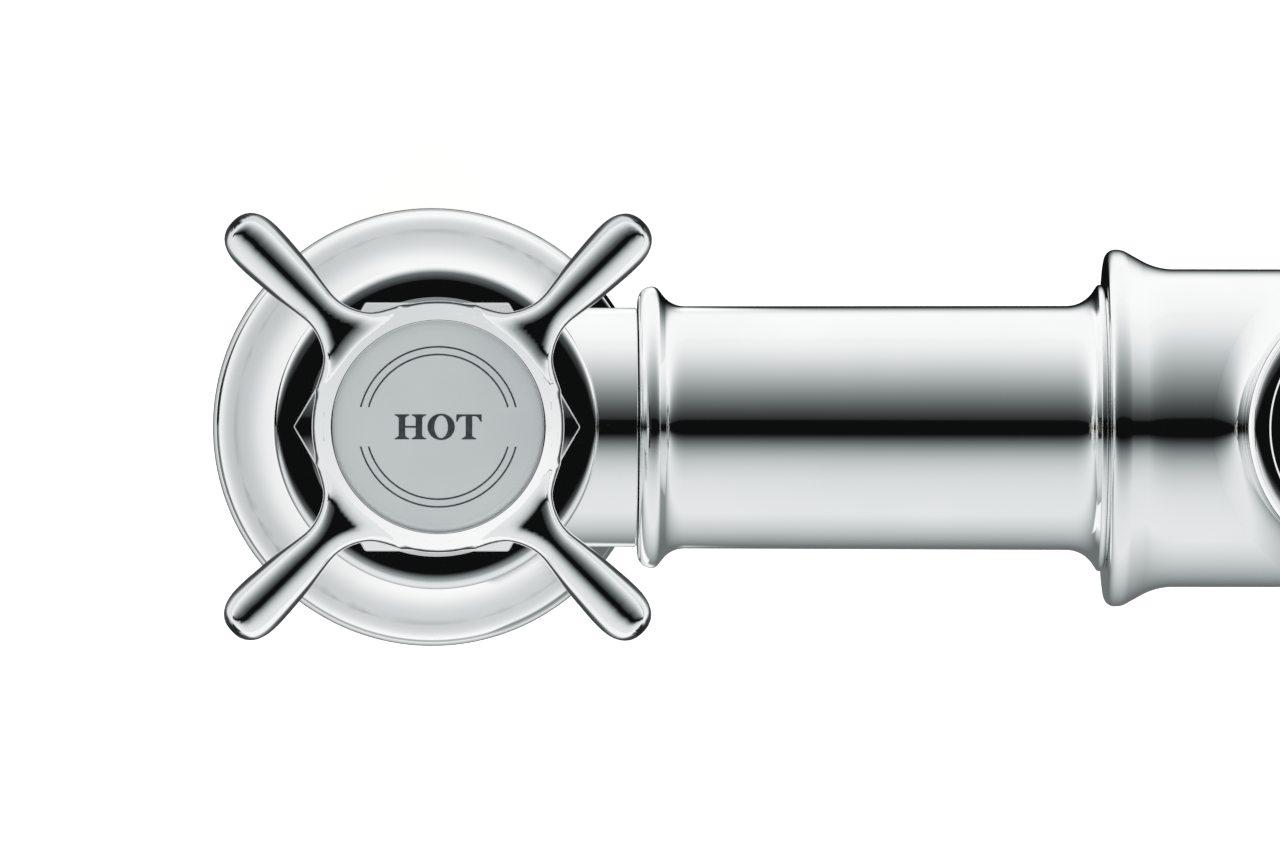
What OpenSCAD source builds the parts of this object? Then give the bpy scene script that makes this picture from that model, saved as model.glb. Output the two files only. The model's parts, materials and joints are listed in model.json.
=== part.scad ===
// Two-handle bridge mixer for a basin: two pillars, a bridge tube on each side and a swan-neck spout.
// Millimetres, +Z up. The origin is on the deck, halfway between the pillars, and -Y faces the user.

/* [Layout] */
// Distance between the axes of the two pillars
pillar_pitch = 200; // [180:1:240]
// Height of the bridge tubes' axis above the deck
bridge_height = 48; // [46:1:70]
// Thickness of the deck that the backnuts clamp
deck_t = 24; // [8:1:32]

/* [Base flange] */
// Radius of the flange on the deck
flange_r = 23.7; // [23:0.1:30]
// Gap between the flange's edge and the deck, which the gasket keeps open
flange_lift = 0.3; // [0.1:0.1:0.6]
// Width of the gasket that the flange stands on
gasket_w = 8.5; // [5:0.1:9]
// Thickness of the gasket
gasket_t = 1.8; // [1:0.1:3]

/* [Pillar] */
// Radius of the pillar's foot inside the flange
foot_r = 12.1; // [11.8:0.1:13]
// Radius of the valve housing
housing_r = 15; // [14.6:0.1:15.6]
// Radius of the stub that the bridge tube meets
stub_r = 12.65; // [12:0.05:13]
// Distance from the pillar's axis to the stub's end
stub_reach = 21.4; // [19:0.1:26]
// Width of the flat ring round the bonnet, from the bonnet's flats to the rim's curve
dish_w = 2.2; // [1.6:0.1:3]

/* [Shank and fixing] */
// Radius of the threaded shank, half of its nominal thread size
shank_r = 10.48; // [9:0.01:10.6]
// Length of the shank below the deck's top
shank_drop = 70; // [64:1:110]
// Length of the free end that takes the supply hose
inlet_len = 22; // [12:1:24]
// Distance across the flats of the backnut
backnut_af = 30; // [27:1:36]
// Height of the backnut
backnut_h = 8; // [5:1:10]
// Radius of the fixing washer and the fixing gasket
washer_r = 19; // [16:0.5:22]
// Thickness of the fixing washer
washer_t = 2; // [1:0.5:3]
// Thickness of the fixing gasket
pad_t = 2.5; // [1.5:0.5:4]

/* [Valve] */
// Radius of the valve chamber
chamber_r = 11; // [10.8:0.1:11.2]
// Radius of the water's way through the pillar
water_r = 5.5; // [4:0.1:5.6]
// Wall of the cartridge's foot
cartridge_wall = 1; // [0.8:0.1:1.3]
// Radius of the ceramic discs
disc_r = 7.9; // [7.4:0.1:8]
// Thickness of each ceramic disc
disc_t = 2.4; // [2:0.1:2.8]
// Thickness of the rubber seat
seat_t = 2.2; // [1.6:0.1:2.6]
// Radius of the spindle's stem
stem_r = 3.95; // [3.6:0.05:4.2]
// Turn of the valve from closed to fully open, in degrees
valve_turn = 180; // [90:90:180]

/* [Bonnet] */
// Distance across the flats of the bonnet
bonnet_af = 26; // [25:0.1:27]
// Height of the bonnet's hexagon
bonnet_h = 6.5; // [5:0.1:9]
// Slope of the chamfer on the hexagon's top, in degrees
chamfer_slope = 30; // [20:1:40]
// Radius of the collar above the hexagon
collar_r = 9.6; // [9:0.1:10]
// Height of the collar above the hexagon
collar_h = 4; // [3.5:0.1:6]

/* [Handle] */
// Radius of the hub at its widest
hub_r = 13; // [12.8:0.1:14]
// Height of the hub
hub_h = 12.1; // [11.5:0.1:14]
// Reach of the arms from the hub's axis
arm_reach = 30.3; // [27:0.1:38]
// Radius of the arms beside the hub
arm_neck_r = 2; // [1.7:0.05:2.4]
// Radius of the arms near their ends
arm_end_r = 2.9; // [2.5:0.05:3.4]
// Number of arms
arm_count = 4; // [3:1:5]
// Radius of the fillet between an arm and the hub, seen from above
web_r = 6; // [4:0.5:8]
// Radius of the porcelain disc
index_r = 11.1; // [10:0.1:11.2]
// Thickness of the porcelain disc at its edge
index_t = 2; // [1.5:0.1:2.2]

/* [Bridge tube] */
// Radius of the tube at the pillar's end
tube_r = 12.9; // [12.2:0.05:13.2]
// Radius of the tube at the centre's end
tube_far_r = 12.75; // [12.2:0.05:13.2]
// Radius of the bead at the pillar's end
bead_r = 14.9; // [14.2:0.1:16]
// Radius of the flare at the centre's end
flare_r = 15.1; // [14.4:0.1:16]
// Radius of the spigots that plug into the pillar and the centre body
spigot_r = 9; // [8.4:0.1:9.4]
// Length of each spigot
spigot_len = 9.5; // [8:0.1:9.6]
// Radius of the tube's bore
bore_r = 7; // [5:0.1:7.2]

/* [Centre body] */
// Radius of the barrel
barrel_r = 16.8; // [16:0.1:18]
// Distance from the centre to the barrel's end faces
barrel_reach = 29.2; // [27:0.1:36]
// Radius of the lip at each end of the barrel
lip_r = 18.87; // [18.4:0.01:20]
// Width of the flat ring round the spout's foot, from the foot to the rim's curve
neck_dish_w = 1.38; // [0.4:0.01:1.6]
// Height of the neck's rim above the bridge tubes' axis
neck_rise = 25; // [24:0.5:32]

/* [Spout] */
// Distance from the spout's riser to its outlet, axis to axis
spout_reach = 116; // [90:1:150]
// Height of the arch's centre above the bridge tubes' axis
spout_rise = 100; // [70:1:150]
// Radius of the spout's tube
spout_r = 9.5; // [8.8:0.1:10.4]
// Wall of the spout's tube
spout_wall = 1.5; // [1:0.1:2]
// Length of the straight drop from the arch to the outlet's collar
spout_drop = 6; // [2:0.5:20]
// Full swing of the spout from stop to stop, in degrees
spout_swing = 120; // [40:5:150]
// Radius of the spout's foot in the neck's dish
foot_ring_r = 11.6; // [11.2:0.1:12.4]
// Thickness of the washer that the spout turns on
slip_t = 0.8; // [0.5:0.1:1.2]
// Radius of the grub screw that keeps the spout in
grub_r = 2; // [1.5:0.1:2.2]

/* [Outlet] */
// Radius of the outlet's collar on the spout
outlet_r = 10.9; // [10.6:0.1:12.4]
// Nominal radius of the aerator's thread
aerator_r = 9.25; // [8.8:0.05:9.4]
// Length of the aerator's thread
aerator_len = 6; // [4.5:0.1:7]
// Height of the aerator's visible ring
aerator_lip = 3.5; // [2:0.1:5]

/* [Hidden] */
$fn = 96;
// Radial clearance of a running fit
run_gap = 0.05;
// Radial clearance round the collar under the turning handle
turn_gap = 0.5;
// Flat faces of turning pieces stay this far apart
face_gap = 0.02;
// Clearance between pieces that don't locate each other
loose_gap = 0.3;
// Half width of the grooves that hold the small sealing rings
small_ring = 0.9;
// Overlap of cutting solids past the face that they cut
cut = 1;
// Thread of the shanks, in turned ribs
thread_pitch = 1.814;
crest_share = 0.3;
flank_share = 0.32;
thread_h = 1;
// Turn of an arc that one straight step of an outline covers
arc_step = 7.5;
cos30 = cos(30);

half_pitch = pillar_pitch / 2;
SIDES = ["hot", "cold"];
SIDE_PIECES = [
    "base_gasket", "base_flange", "pillar", "shank", "fixing_gasket", "fixing_washer", "backnut",
    "bonnet", "cartridge_body", "cartridge_o_ring", "seat_seal", "fixed_disc", "moving_disc",
    "spindle", "spindle_o_ring", "spindle_clip", "handle", "handle_screw", "index_disc",
    "bridge_tube", "bridge_o_rings"
];
CENTRE_PIECES = [
    "centre_body", "spout", "slip_washer", "spout_o_rings", "spout_grub_screw",
    "aerator_housing", "aerator_insert", "aerator_seal"
];

CHROME = [0.86, 0.87, 0.88];
BRASS = [0.80, 0.64, 0.33];
RUBBER = [0.13, 0.13, 0.14];
CERAMIC = [0.93, 0.91, 0.86];
PORCELAIN = [0.76, 0.78, 0.78];
STEEL = [0.62, 0.63, 0.65];
NYLON = [0.90, 0.90, 0.88];

// Points of an arc that starts at p on the given heading and turns left, or right if the turn is negative
function arc_points(p, heading, radius, turn) =
    let (
        to_centre = heading + 90 * sign(turn),
        centre = p + radius * [cos(to_centre), sin(to_centre)],
        steps = max(2, ceil(abs(turn) / arc_step)),
        step = turn / steps
    )
    [for (i = [1:steps]) centre - radius * [cos(to_centre + step * i), sin(to_centre + step * i)]];

// An outline drawn by moves of [length, 0] for a straight run or [radius, turn] for an arc
function trail(p, heading, moves, i = 0) =
    i == len(moves) ? [p] :
    let (
        move = moves[i],
        points = move[1] == 0
            ? [p + move[0] * [cos(heading), sin(heading)]]
            : arc_points(p, heading, move[0], move[1]),
        last = len(points) - 1
    )
    concat(
        [p],
        [for (k = [0:1:last - 1]) points[k]],
        trail(points[last], heading + move[1], moves, i + 1)
    );

function last_of(points) = points[len(points) - 1];

// Turn of two opposed arcs that together step an outline sideways by the given height
function s_turn(height, both_radii) = acos(1 - height / both_radii);

// A rim seen from above as a near-flat ring that rounds over a fine edge: from the outer wall inwards
rim_edge_r = 1.1;
rim_crown_r = 4.8;
rim_edge_turn = 78;
rim_crown_turn = 12;
rim_h = rim_edge_r * sin(rim_edge_turn) + rim_crown_r * (1 - cos(rim_crown_turn));
rim_w = rim_edge_r * (1 - cos(rim_edge_turn)) + rim_crown_r * sin(rim_crown_turn);
function rim_points(r, top) =
    trail([r, top - rim_h], 90, [[rim_edge_r, rim_edge_turn], [rim_crown_r, rim_crown_turn]]);

// Heights of the pillar and what stands in it
flange_outline = trail(
    [flange_r, flange_lift],
    90,
    [[1.3, 0], [1.5, 46], [9.2, -24], [43.8, 11.5], [0.4, 0], [3.09, 56.5]]
);
flange_top = last_of(flange_outline)[1];
seat_z = bridge_height - 8;
ledge_z = bridge_height + 9;
dish_z = bridge_height + 18.4;
bonnet_seat_z = dish_z + 0.2;
bonnet_top = bonnet_seat_z + bonnet_h;
collar_top = bonnet_top + collar_h;
hub_z = collar_top - 1;
hub_top = hub_z + hub_h;
index_seat_z = hub_top - index_t;
// The porcelain's ring: a steep cone over a rounded edge, down to the hub's widest place
hub_lip_w = 0.15;
hub_edge_r = 2.8;
hub_cone_slope = 50;
hub_cone_w = hub_r - hub_edge_r * (1 - sin(hub_cone_slope)) - index_r - hub_lip_w;
hub_widest_z = hub_top - hub_edge_r * cos(hub_cone_slope) - hub_cone_w * tan(hub_cone_slope);
arm_top_z = index_seat_z;
hub_skirt_r = hub_r - 1.8;
hub_skirt_h = 1;
cartridge_foot_z = seat_z + seat_t;
fixed_disc_top = cartridge_foot_z + disc_t;
moving_disc_z = fixed_disc_top + face_gap;
moving_disc_top = moving_disc_z + disc_t;
slot_w = 3;
lug_z = moving_disc_top + 4.2;
lug_h = 1.2;
lug_half_angle = 12;
stop_half_angle = 180 - valve_turn / 2 - lug_half_angle - 0.5;
cavity_top = lug_z + lug_h + 0.2;
stem_ring_z = ledge_z + 5;
cartridge_top = bonnet_top - 3;
clip_t = 0.8;
clip_z = cartridge_top + 0.3;
screw_seat_z = index_seat_z - 3;
screw_web_t = 1;
spindle_top = screw_seat_z - screw_web_t;
screw_len = 8;

// Radii of the pieces that fit in each other
foot_bore_r = disc_r + run_gap * 2;
cartridge_foot_r = foot_bore_r + cartridge_wall;
bonnet_thread_r = chamber_r + 1;
cartridge_neck_r = 7.4;
collar_bore_r = stem_r + 1.05;
spline_tooth = 0.35;
shoulder_r = stem_r + 0.5;
shoulder_h = 1.4;
screw_r = 1.95;
screw_head_r = 3.7;
screw_head_h = 2.4;
rim_r = bonnet_af / 2 + dish_w + rim_w;
neck_r = foot_ring_r + neck_dish_w + rim_w;

// Centre body and spout heights
neck_top = bridge_height + neck_rise;
neck_bore_r = spigot_r + run_gap;
tail_r = spigot_r;
tail_z = bridge_height + bore_r + 0.6;
grub_z = neck_top - 4.5;
stop_groove_d = 1;
foot_z = neck_top + slip_t;
foot_ring_h = 3;
arch_r = spout_reach / 2;
arch_z = bridge_height + spout_rise;
aerator_seal_t = 1.5;
outlet_collar_h = aerator_len + aerator_seal_t + 6.5;
outlet_z = arch_z - spout_drop - outlet_collar_h;
spout_bore_r = spout_r - spout_wall;
tail_bore_r = 6;
tail_ring_gap = 3.6;
tail_ring_z = tail_z + 1.4 + small_ring;
tube_len = half_pitch - barrel_reach - stub_reach;

// Places a pillar's pieces, drawn round its axis with the stub on +X, on the given side
module at_pillar(side) {
    s = side == "hot" ? -1 : 1;
    translate([s * half_pitch, 0, 0])
        mirror([s > 0 ? 1 : 0, 0, 0])
            children();
}

module ring(outer, inner, from_z, height) {
    translate([0, 0, from_z])
        difference() {
            cylinder(r = outer, h = height);
            translate([0, 0, -cut]) cylinder(r = inner, h = height + 2 * cut);
        }
}

// A sealing ring of round section, centred on +Z at the given height
module sealing_ring(middle_r, section_r, z) {
    translate([0, 0, z])
        rotate_extrude()
            translate([middle_r, 0])
                circle(r = section_r, $fn = 32);
}

module hexagon_bar(across_flats, height) {
    cylinder(r = across_flats / 2 / cos30, h = height, $fn = 6);
}

// Turns a child so that its +Z runs along +X, the way from the pillar to the centre
module along_bridge() {
    rotate([0, 90, 0]) children();
}

module base_gasket() {
    color(RUBBER) ring(foot_r + 0.4 + gasket_w, foot_r + 0.4, 0, gasket_t);
}

module base_flange() {
    recess_r = foot_r + 0.8 + gasket_w;
    inner_r = foot_r + 0.1;
    outline = concat(
        flange_outline,
        [
            [inner_r, flange_top],
            [inner_r, gasket_t],
            [recess_r, gasket_t],
            [recess_r, flange_lift]
        ]
    );
    color(CHROME) rotate_extrude() polygon(outline);
}

// The pillar's outside, from the foot in the flange up to the dished rim
function pillar_outline() =
    let (
        bead = trail([13, flange_top], 0, [[1.5, 180]]),
        cove = trail([12.6, flange_top + 3], 120, [[8, -30]]),
        swell = trail([0, 0], 90, [[6, -60], [1, 60]]),
        swell_end = last_of(swell),
        swell_base = [housing_r - swell_end[0], bridge_height - 17.5 - swell_end[1]],
        rim = rim_points(rim_r, dish_z),
        cup = trail([0, 0], 90, [[4, -55], [0.8, 55]]),
        cup_end = last_of(cup),
        cup_base = [housing_r, rim[0][1] - cup_end[1]],
        cup_scale = (rim_r - housing_r) / cup_end[0]
    )
    concat(
        [[0, 1], [foot_r, 1], [foot_r, flange_top]],
        bead,
        cove,
        [for (p = swell) swell_base + p],
        [for (p = cup) cup_base + [p[0] * cup_scale, p[1]]],
        rim,
        [
            [bonnet_af / 2 + 0.6, dish_z],
            [bonnet_af / 2 - 0.1, bonnet_seat_z],
            [0, bonnet_seat_z]
        ]
    );

module pillar() {
    socket_depth = spigot_len + 0.5;
    color(CHROME)
        difference() {
            union() {
                rotate_extrude() polygon(pillar_outline());
                translate([0, 0, bridge_height])
                    along_bridge()
                        cylinder(r = stub_r, h = stub_reach);
            }
            // Socket of the shank, water's way, valve chamber and bonnet thread, from the bottom up
            cylinder(r = shank_r + run_gap, h = flange_top - 2);
            cylinder(r = water_r, h = bridge_height);
            translate([0, 0, seat_z]) cylinder(r = chamber_r, h = ledge_z - seat_z + cut);
            translate([0, 0, ledge_z]) cylinder(r = bonnet_thread_r + run_gap, h = dish_z);
            translate([0, 0, bridge_height])
                along_bridge() {
                    cylinder(r = bore_r, h = stub_reach + cut);
                    translate([0, 0, stub_reach - socket_depth])
                        cylinder(r = spigot_r + run_gap, h = socket_depth + cut);
                }
        }
}

// Outline of the backnut's thread on the shank, as turned ribs between two heights
function rib_points(low, high) =
    let (
        ribs = floor((high - low) / thread_pitch),
        crest_w = thread_pitch * crest_share,
        flank_w = thread_pitch * flank_share
    )
    [for (i = [0:ribs - 1], p = [
        [shank_r - thread_h, low + i * thread_pitch],
        [shank_r, low + i * thread_pitch + flank_w],
        [shank_r, low + i * thread_pitch + flank_w + crest_w],
        [shank_r - thread_h, low + i * thread_pitch + 2 * flank_w + crest_w]
    ]) p];

// Tail with the supply's plain end, a groove, and the ribs that the backnut grips
module shank() {
    top = flange_top - 2;
    groove_z = inlet_len - shank_drop;
    groove_w = 2;
    groove_d = 0.8;
    bore = water_r + 1;
    color(BRASS)
        rotate_extrude()
            polygon(concat(
                [[bore, -shank_drop], [shank_r, -shank_drop], [shank_r, groove_z], [shank_r - groove_d, groove_z]],
                [[shank_r - groove_d, groove_z + groove_w], [shank_r - thread_h, groove_z + groove_w]],
                rib_points(groove_z + groove_w + 0.2, -gasket_t),
                [[shank_r - thread_h, -gasket_t], [shank_r, -gasket_t], [shank_r, top], [bore, top]]
            ));
}

module fixing_gasket() {
    color(RUBBER) ring(washer_r, shank_r + loose_gap, -deck_t - pad_t, pad_t);
}

module fixing_washer() {
    color(STEEL) ring(washer_r, shank_r + loose_gap, -deck_t - pad_t - washer_t, washer_t);
}

module backnut() {
    color(BRASS)
        translate([0, 0, -deck_t - pad_t - washer_t - backnut_h])
            difference() {
                intersection() {
                    hexagon_bar(backnut_af, backnut_h);
                    chamfered_blank(backnut_af, backnut_h);
                }
                translate([0, 0, -cut]) cylinder(r = shank_r + run_gap, h = backnut_h + 2 * cut);
            }
}

// A turned blank with both edges chamfered, which takes the sharp points off a hexagon
module chamfered_blank(across_flats, height) {
    corner_r = across_flats / 2 / cos30 + cut;
    flat_r = across_flats / 2 - 0.3;
    chamfer_h = (corner_r - flat_r) * tan(chamfer_slope);
    rotate_extrude()
        polygon([
            [0, 0],
            [flat_r, 0],
            [corner_r, chamfer_h],
            [corner_r, height - chamfer_h],
            [flat_r, height],
            [0, height]
        ]);
}

module bonnet() {
    top_r = bonnet_af / 2 - 1.5;
    corner_r = bonnet_af / 2 / cos30 + cut;
    corner_drop = (corner_r - top_r) * tan(chamfer_slope);
    color(CHROME)
        difference() {
            union() {
                translate([0, 0, ledge_z + 2]) cylinder(r = bonnet_thread_r, h = bonnet_seat_z - ledge_z);
                intersection() {
                    translate([0, 0, bonnet_seat_z]) hexagon_bar(bonnet_af, bonnet_h);
                    rotate_extrude()
                        polygon([
                            [0, bonnet_seat_z],
                            [corner_r, bonnet_seat_z],
                            [corner_r, bonnet_top - corner_drop],
                            [top_r, bonnet_top],
                            [0, bonnet_top]
                        ]);
                }
                rotate_extrude()
                    polygon(concat(
                        [[0, bonnet_seat_z], [collar_r, bonnet_seat_z]],
                        trail([collar_r, collar_top - 0.8], 90, [[0.8, 90]]),
                        [[0, collar_top]]
                    ));
            }
            translate([0, 0, ledge_z])
                cylinder(r = cartridge_neck_r + run_gap, h = clip_z + 2 * clip_t - ledge_z);
            translate([0, 0, ledge_z]) cylinder(r = collar_bore_r, h = collar_top);
        }
}

// Ring sector about +Z, centred on the given angle
module sector(outer, inner, from_z, height, middle, half_angle) {
    translate([0, 0, from_z])
        rotate([0, 0, middle - half_angle])
            rotate_extrude(angle = 2 * half_angle)
                translate([inner, 0])
                    square([outer - inner, height]);
}

// Headwork shell: foot round the discs with two windows, flange on the chamber's ledge, neck round the stem
module cartridge_body() {
    window_w = 9;
    color(BRASS)
        difference() {
            union() {
                translate([0, 0, cartridge_foot_z])
                    cylinder(r = cartridge_foot_r, h = ledge_z - cartridge_foot_z + cut);
                translate([0, 0, ledge_z]) cylinder(r = bonnet_thread_r - 0.1, h = 2);
                translate([0, 0, ledge_z]) cylinder(r = cartridge_neck_r, h = cartridge_top - ledge_z);
            }
            translate([0, 0, cartridge_foot_z - cut])
                cylinder(r = foot_bore_r, h = cavity_top - cartridge_foot_z + cut);
            translate([0, 0, cartridge_foot_z]) cylinder(r = stem_r + run_gap, h = cartridge_top);
            translate([-cartridge_foot_r - cut, -window_w / 2, moving_disc_top - 1])
                cube([2 * (cartridge_foot_r + cut), window_w, lug_z - moving_disc_top]);
        }
    // Stop that the spindle's lug meets when the valve is closed and when it is fully open
    color(BRASS)
        sector(foot_bore_r + 0.3, disc_r - 1.2, lug_z, cavity_top - lug_z + 0.2, 180, stop_half_angle);
}

module cartridge_o_ring() {
    section = (chamber_r - cartridge_foot_r) / 2 - 0.01;
    color(RUBBER) sealing_ring((chamber_r + cartridge_foot_r) / 2, section, ledge_z - section - 0.01);
}

module seat_seal() {
    color(RUBBER) ring(cartridge_foot_r - 0.1, water_r + 0.1, seat_z, seat_t);
}

// Its round port is covered by the moving disc while the valve is closed
module fixed_disc() {
    color(CERAMIC)
        translate([0, 0, cartridge_foot_z])
            difference() {
                cylinder(r = disc_r, h = disc_t);
                translate([0, water_r * 0.6, -cut]) cylinder(r = water_r * 0.36, h = disc_t + 2 * cut);
            }
}

// Its notch stands over the fixed disc's port once the valve is turned fully open
module moving_disc() {
    color(CERAMIC)
        translate([0, 0, moving_disc_z])
            difference() {
                cylinder(r = disc_r, h = disc_t);
                rotate([0, 0, -valve_turn])
                    translate([0, disc_r, -cut])
                        cylinder(r = disc_r * 0.6, h = disc_t + 2 * cut);
                translate([-disc_r, -slot_w / 2, disc_t / 2]) cube([2 * disc_r, slot_w, disc_t]);
            }
}

// Driving tongue in the moving disc's slot, collar with the stop lug, grooved stem and splined top
module spindle() {
    tongue_w = slot_w - 2 * run_gap;
    collar_z = moving_disc_top + 0.1;
    color(BRASS)
        difference() {
            union() {
                translate([-disc_r * 0.8, -tongue_w / 2, moving_disc_z + disc_t / 2 + 0.1])
                    cube([disc_r * 1.6, tongue_w, disc_t / 2 + 1]);
                translate([0, 0, collar_z]) cylinder(r = disc_r - 1.4, h = lug_z + lug_h - collar_z);
                sector(disc_r - 0.2, disc_r - 2, lug_z + 0.1, lug_h - 0.3, -valve_turn / 2, lug_half_angle);
                translate([0, 0, collar_z]) cylinder(r = stem_r, h = hub_z + shoulder_h / 2 - collar_z);
                translate([0, 0, hub_z]) cylinder(r = shoulder_r, h = shoulder_h);
                translate([0, 0, hub_z + shoulder_h / 2])
                    linear_extrude(spindle_top - hub_z - shoulder_h / 2)
                        spline_plan();
            }
            ring(stem_r + cut, stem_r - 1.6 * small_ring, stem_ring_z - small_ring, 2 * small_ring);
            ring(stem_r + cut, stem_r - 0.6, clip_z, clip_t);
            translate([0, 0, spindle_top - screw_len - cut])
                cylinder(r = screw_r + run_gap, h = screw_len + 2 * cut);
        }
}

// Toothed plan of the spline that carries the handle
module spline_plan() {
    teeth = 20;
    polygon([
        for (i = [0:2 * teeth - 1])
            let (r = i % 2 == 0 ? stem_r + spline_tooth : stem_r - 0.1, turn = i * 180 / teeth)
            r * [cos(turn), sin(turn)]
    ]);
}

module spindle_o_ring() {
    section = small_ring * 0.8;
    color(RUBBER) sealing_ring(stem_r - section, section, stem_ring_z);
}

// Open spring clip in the stem's groove
module spindle_clip() {
    gap = stem_r * 1.1;
    clip_r = stem_r + 2.2;
    color(STEEL)
        difference() {
            ring(clip_r, stem_r - 0.55, clip_z + 0.05, clip_t - 0.1);
            translate([0, -gap / 2, clip_z - cut]) cube([clip_r + cut, gap, clip_t + 2 * cut]);
        }
}

// Places along an arm where its neck ends and where its rounded tip begins
arm_neck_at = hub_r + 4;
arm_end_at = arm_reach - arm_end_r;
// The arm droops as it grows, so its top stays level
arm_droop = atan((arm_end_r - arm_neck_r) / (arm_end_at - arm_neck_at));
arm_root_z = arm_top_z - arm_neck_r + arm_neck_at * tan(arm_droop);

// Arm of the handle, turned about its own axis and drawn along +Z from the hub's axis
function arm_outline() =
    let (tip = trail([arm_end_r, arm_end_at], 90, [[arm_end_r, 90]]))
    concat(
        [[0, index_r - 1], [arm_neck_r, index_r - 1]],
        [for (i = [0:6])
            let (t = i / 6, ease = (1 - cos(180 * t)) / 2)
            [arm_neck_r + (arm_end_r - arm_neck_r) * ease, arm_neck_at + (arm_end_at - arm_neck_at) * t]],
        [for (k = [1:1:len(tip) - 1]) tip[k]]
    );

// Plan of the web on both sides of an arm, which fills the corner between the arm and the hub
module web_plan() {
    // Centre of a fillet: web_r outside the hub's wall and web_r beside the arm's edge
    beside = arm_neck_r + web_r;
    along = sqrt(pow(hub_wall_r(arm_top_z - arm_neck_r) + web_r, 2) - pow(beside, 2));
    difference() {
        polygon([[0, 0], [along, -beside], [along, beside]]);
        for (s = [-1, 1])
            translate([along, s * beside]) circle(r = web_r);
        circle(r = hub_skirt_r - 1);
    }
}

// Radius of the hub's wall between the skirt and the widest place
function hub_wall_r(z) =
    let (t = (z - hub_z - hub_skirt_h) / (hub_widest_z - hub_z - hub_skirt_h))
    hub_skirt_r + (hub_r - hub_skirt_r) * t * t;

// Hub outline from the skirt's lower edge to the porcelain's seat
function hub_outline() =
    let (edge = hub_skirt_h / 2)
    concat(
        [[0, hub_z], [hub_skirt_r - edge, hub_z], [hub_skirt_r, hub_z + edge]],
        [for (i = [0:5])
            let (z = hub_z + hub_skirt_h + (hub_widest_z - hub_z - hub_skirt_h) * i / 6)
            [hub_wall_r(z), z]],
        trail([hub_r, hub_widest_z], 90, [[hub_edge_r, 90 - hub_cone_slope]]),
        [[index_r + hub_lip_w, hub_top]],
        [[0, hub_top]]
    );

module handle() {
    web_h = 1.5 * arm_neck_r;
    // The web's flat top lies a little under the arm's
    web_drop = 0.12;
    web_top = arm_top_z - web_drop;
    color(CHROME)
        difference() {
            union() {
                rotate_extrude() polygon(hub_outline());
                for (i = [0:arm_count - 1])
                    rotate([0, 0, 45 + i * 360 / arm_count]) {
                        translate([0, 0, web_top - web_h]) linear_extrude(web_h) web_plan();
                        translate([0, 0, arm_root_z])
                            rotate([0, 90 + arm_droop, 0]) rotate_extrude() polygon(arm_outline());
                    }
            }
            // Room for the bonnet's collar, the splined stem, the screw and its head, and the porcelain
            translate([0, 0, hub_z - cut])
                cylinder(r = collar_r + turn_gap, h = collar_top + turn_gap - hub_z + cut);
            translate([0, 0, hub_z]) cylinder(r = stem_r + spline_tooth + run_gap, h = spindle_top - hub_z);
            translate([0, 0, hub_z]) cylinder(r = screw_r + loose_gap, h = hub_h);
            translate([0, 0, screw_seat_z]) cylinder(r = screw_head_r + 0.5, h = hub_h);
            translate([0, 0, index_seat_z]) cylinder(r = index_r + run_gap, h = hub_h);
        }
}

module handle_screw() {
    color(STEEL)
        difference() {
            union() {
                translate([0, 0, spindle_top - screw_len])
                    cylinder(r = screw_r, h = screw_len + screw_web_t + cut);
                translate([0, 0, screw_seat_z]) cylinder(r = screw_head_r, h = screw_head_h);
            }
            translate([0, 0, screw_seat_z + screw_head_h - 1.4]) hexagon_bar(2.5, 1.4 + cut);
        }
}

// Porcelain disc with a low crown
module index_disc() {
    crown_h = 0.35;
    crown_r = (pow(index_r, 2) + pow(crown_h, 2)) / (2 * crown_h);
    color(PORCELAIN)
        intersection() {
            translate([0, 0, index_seat_z]) cylinder(r = index_r, h = index_t + crown_h);
            translate([0, 0, hub_top - 0.2 + crown_h - crown_r]) sphere(r = crown_r, $fn = 200);
        }
}

// Inside and outside of the bridge tube, from the stub's end towards the centre
module bridge_tube() {
    far = tube_len;
    reveal = 0.5;
    bead_turn = s_turn(bead_r - tube_r, 1.2 + 4.4);
    bead = trail([bead_r - 1.5, 0], 0, [[1.5, 90], [1.2, bead_turn], [4.4, -bead_turn]]);
    flare_turn = s_turn(flare_r - tube_far_r, 4.5 + 0.5);
    flare = trail([tube_far_r, 0], 90, [[4.5, -flare_turn], [0.5, flare_turn], [0.4, 0], [0.5, 90]]);
    flare_z = far - reveal - last_of(flare)[1];
    outline = concat(
        [[0, -spigot_len], [spigot_r - 0.4, -spigot_len], [spigot_r, 0.4 - spigot_len], [spigot_r, 0]],
        bead,
        [for (p = flare) [p[0], p[1] + flare_z]],
        [
            [flare_r - 1.1, far - reveal],
            [flare_r - 1.1, far],
            [spigot_r, far],
            [spigot_r, far + spigot_len - 0.4],
            [spigot_r - 0.4, far + spigot_len],
            [0, far + spigot_len]
        ]
    );
    color(CHROME)
        translate([stub_reach, 0, bridge_height])
            along_bridge()
                difference() {
                    rotate_extrude() polygon(outline);
                    translate([0, 0, -spigot_len - cut])
                        cylinder(r = bore_r, h = far + 2 * (spigot_len + cut));
                    for (z = [-spigot_len / 2, far + spigot_len / 2])
                        ring(spigot_r + cut, spigot_r - 1.4 * small_ring, z - small_ring, 2 * small_ring);
                }
}

module bridge_o_rings() {
    section = small_ring * 0.7;
    color(RUBBER)
        translate([stub_reach, 0, bridge_height])
            along_bridge()
                for (z = [-spigot_len / 2, tube_len + spigot_len / 2])
                    sealing_ring(spigot_r - section + run_gap / 2, section, z);
}

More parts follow.
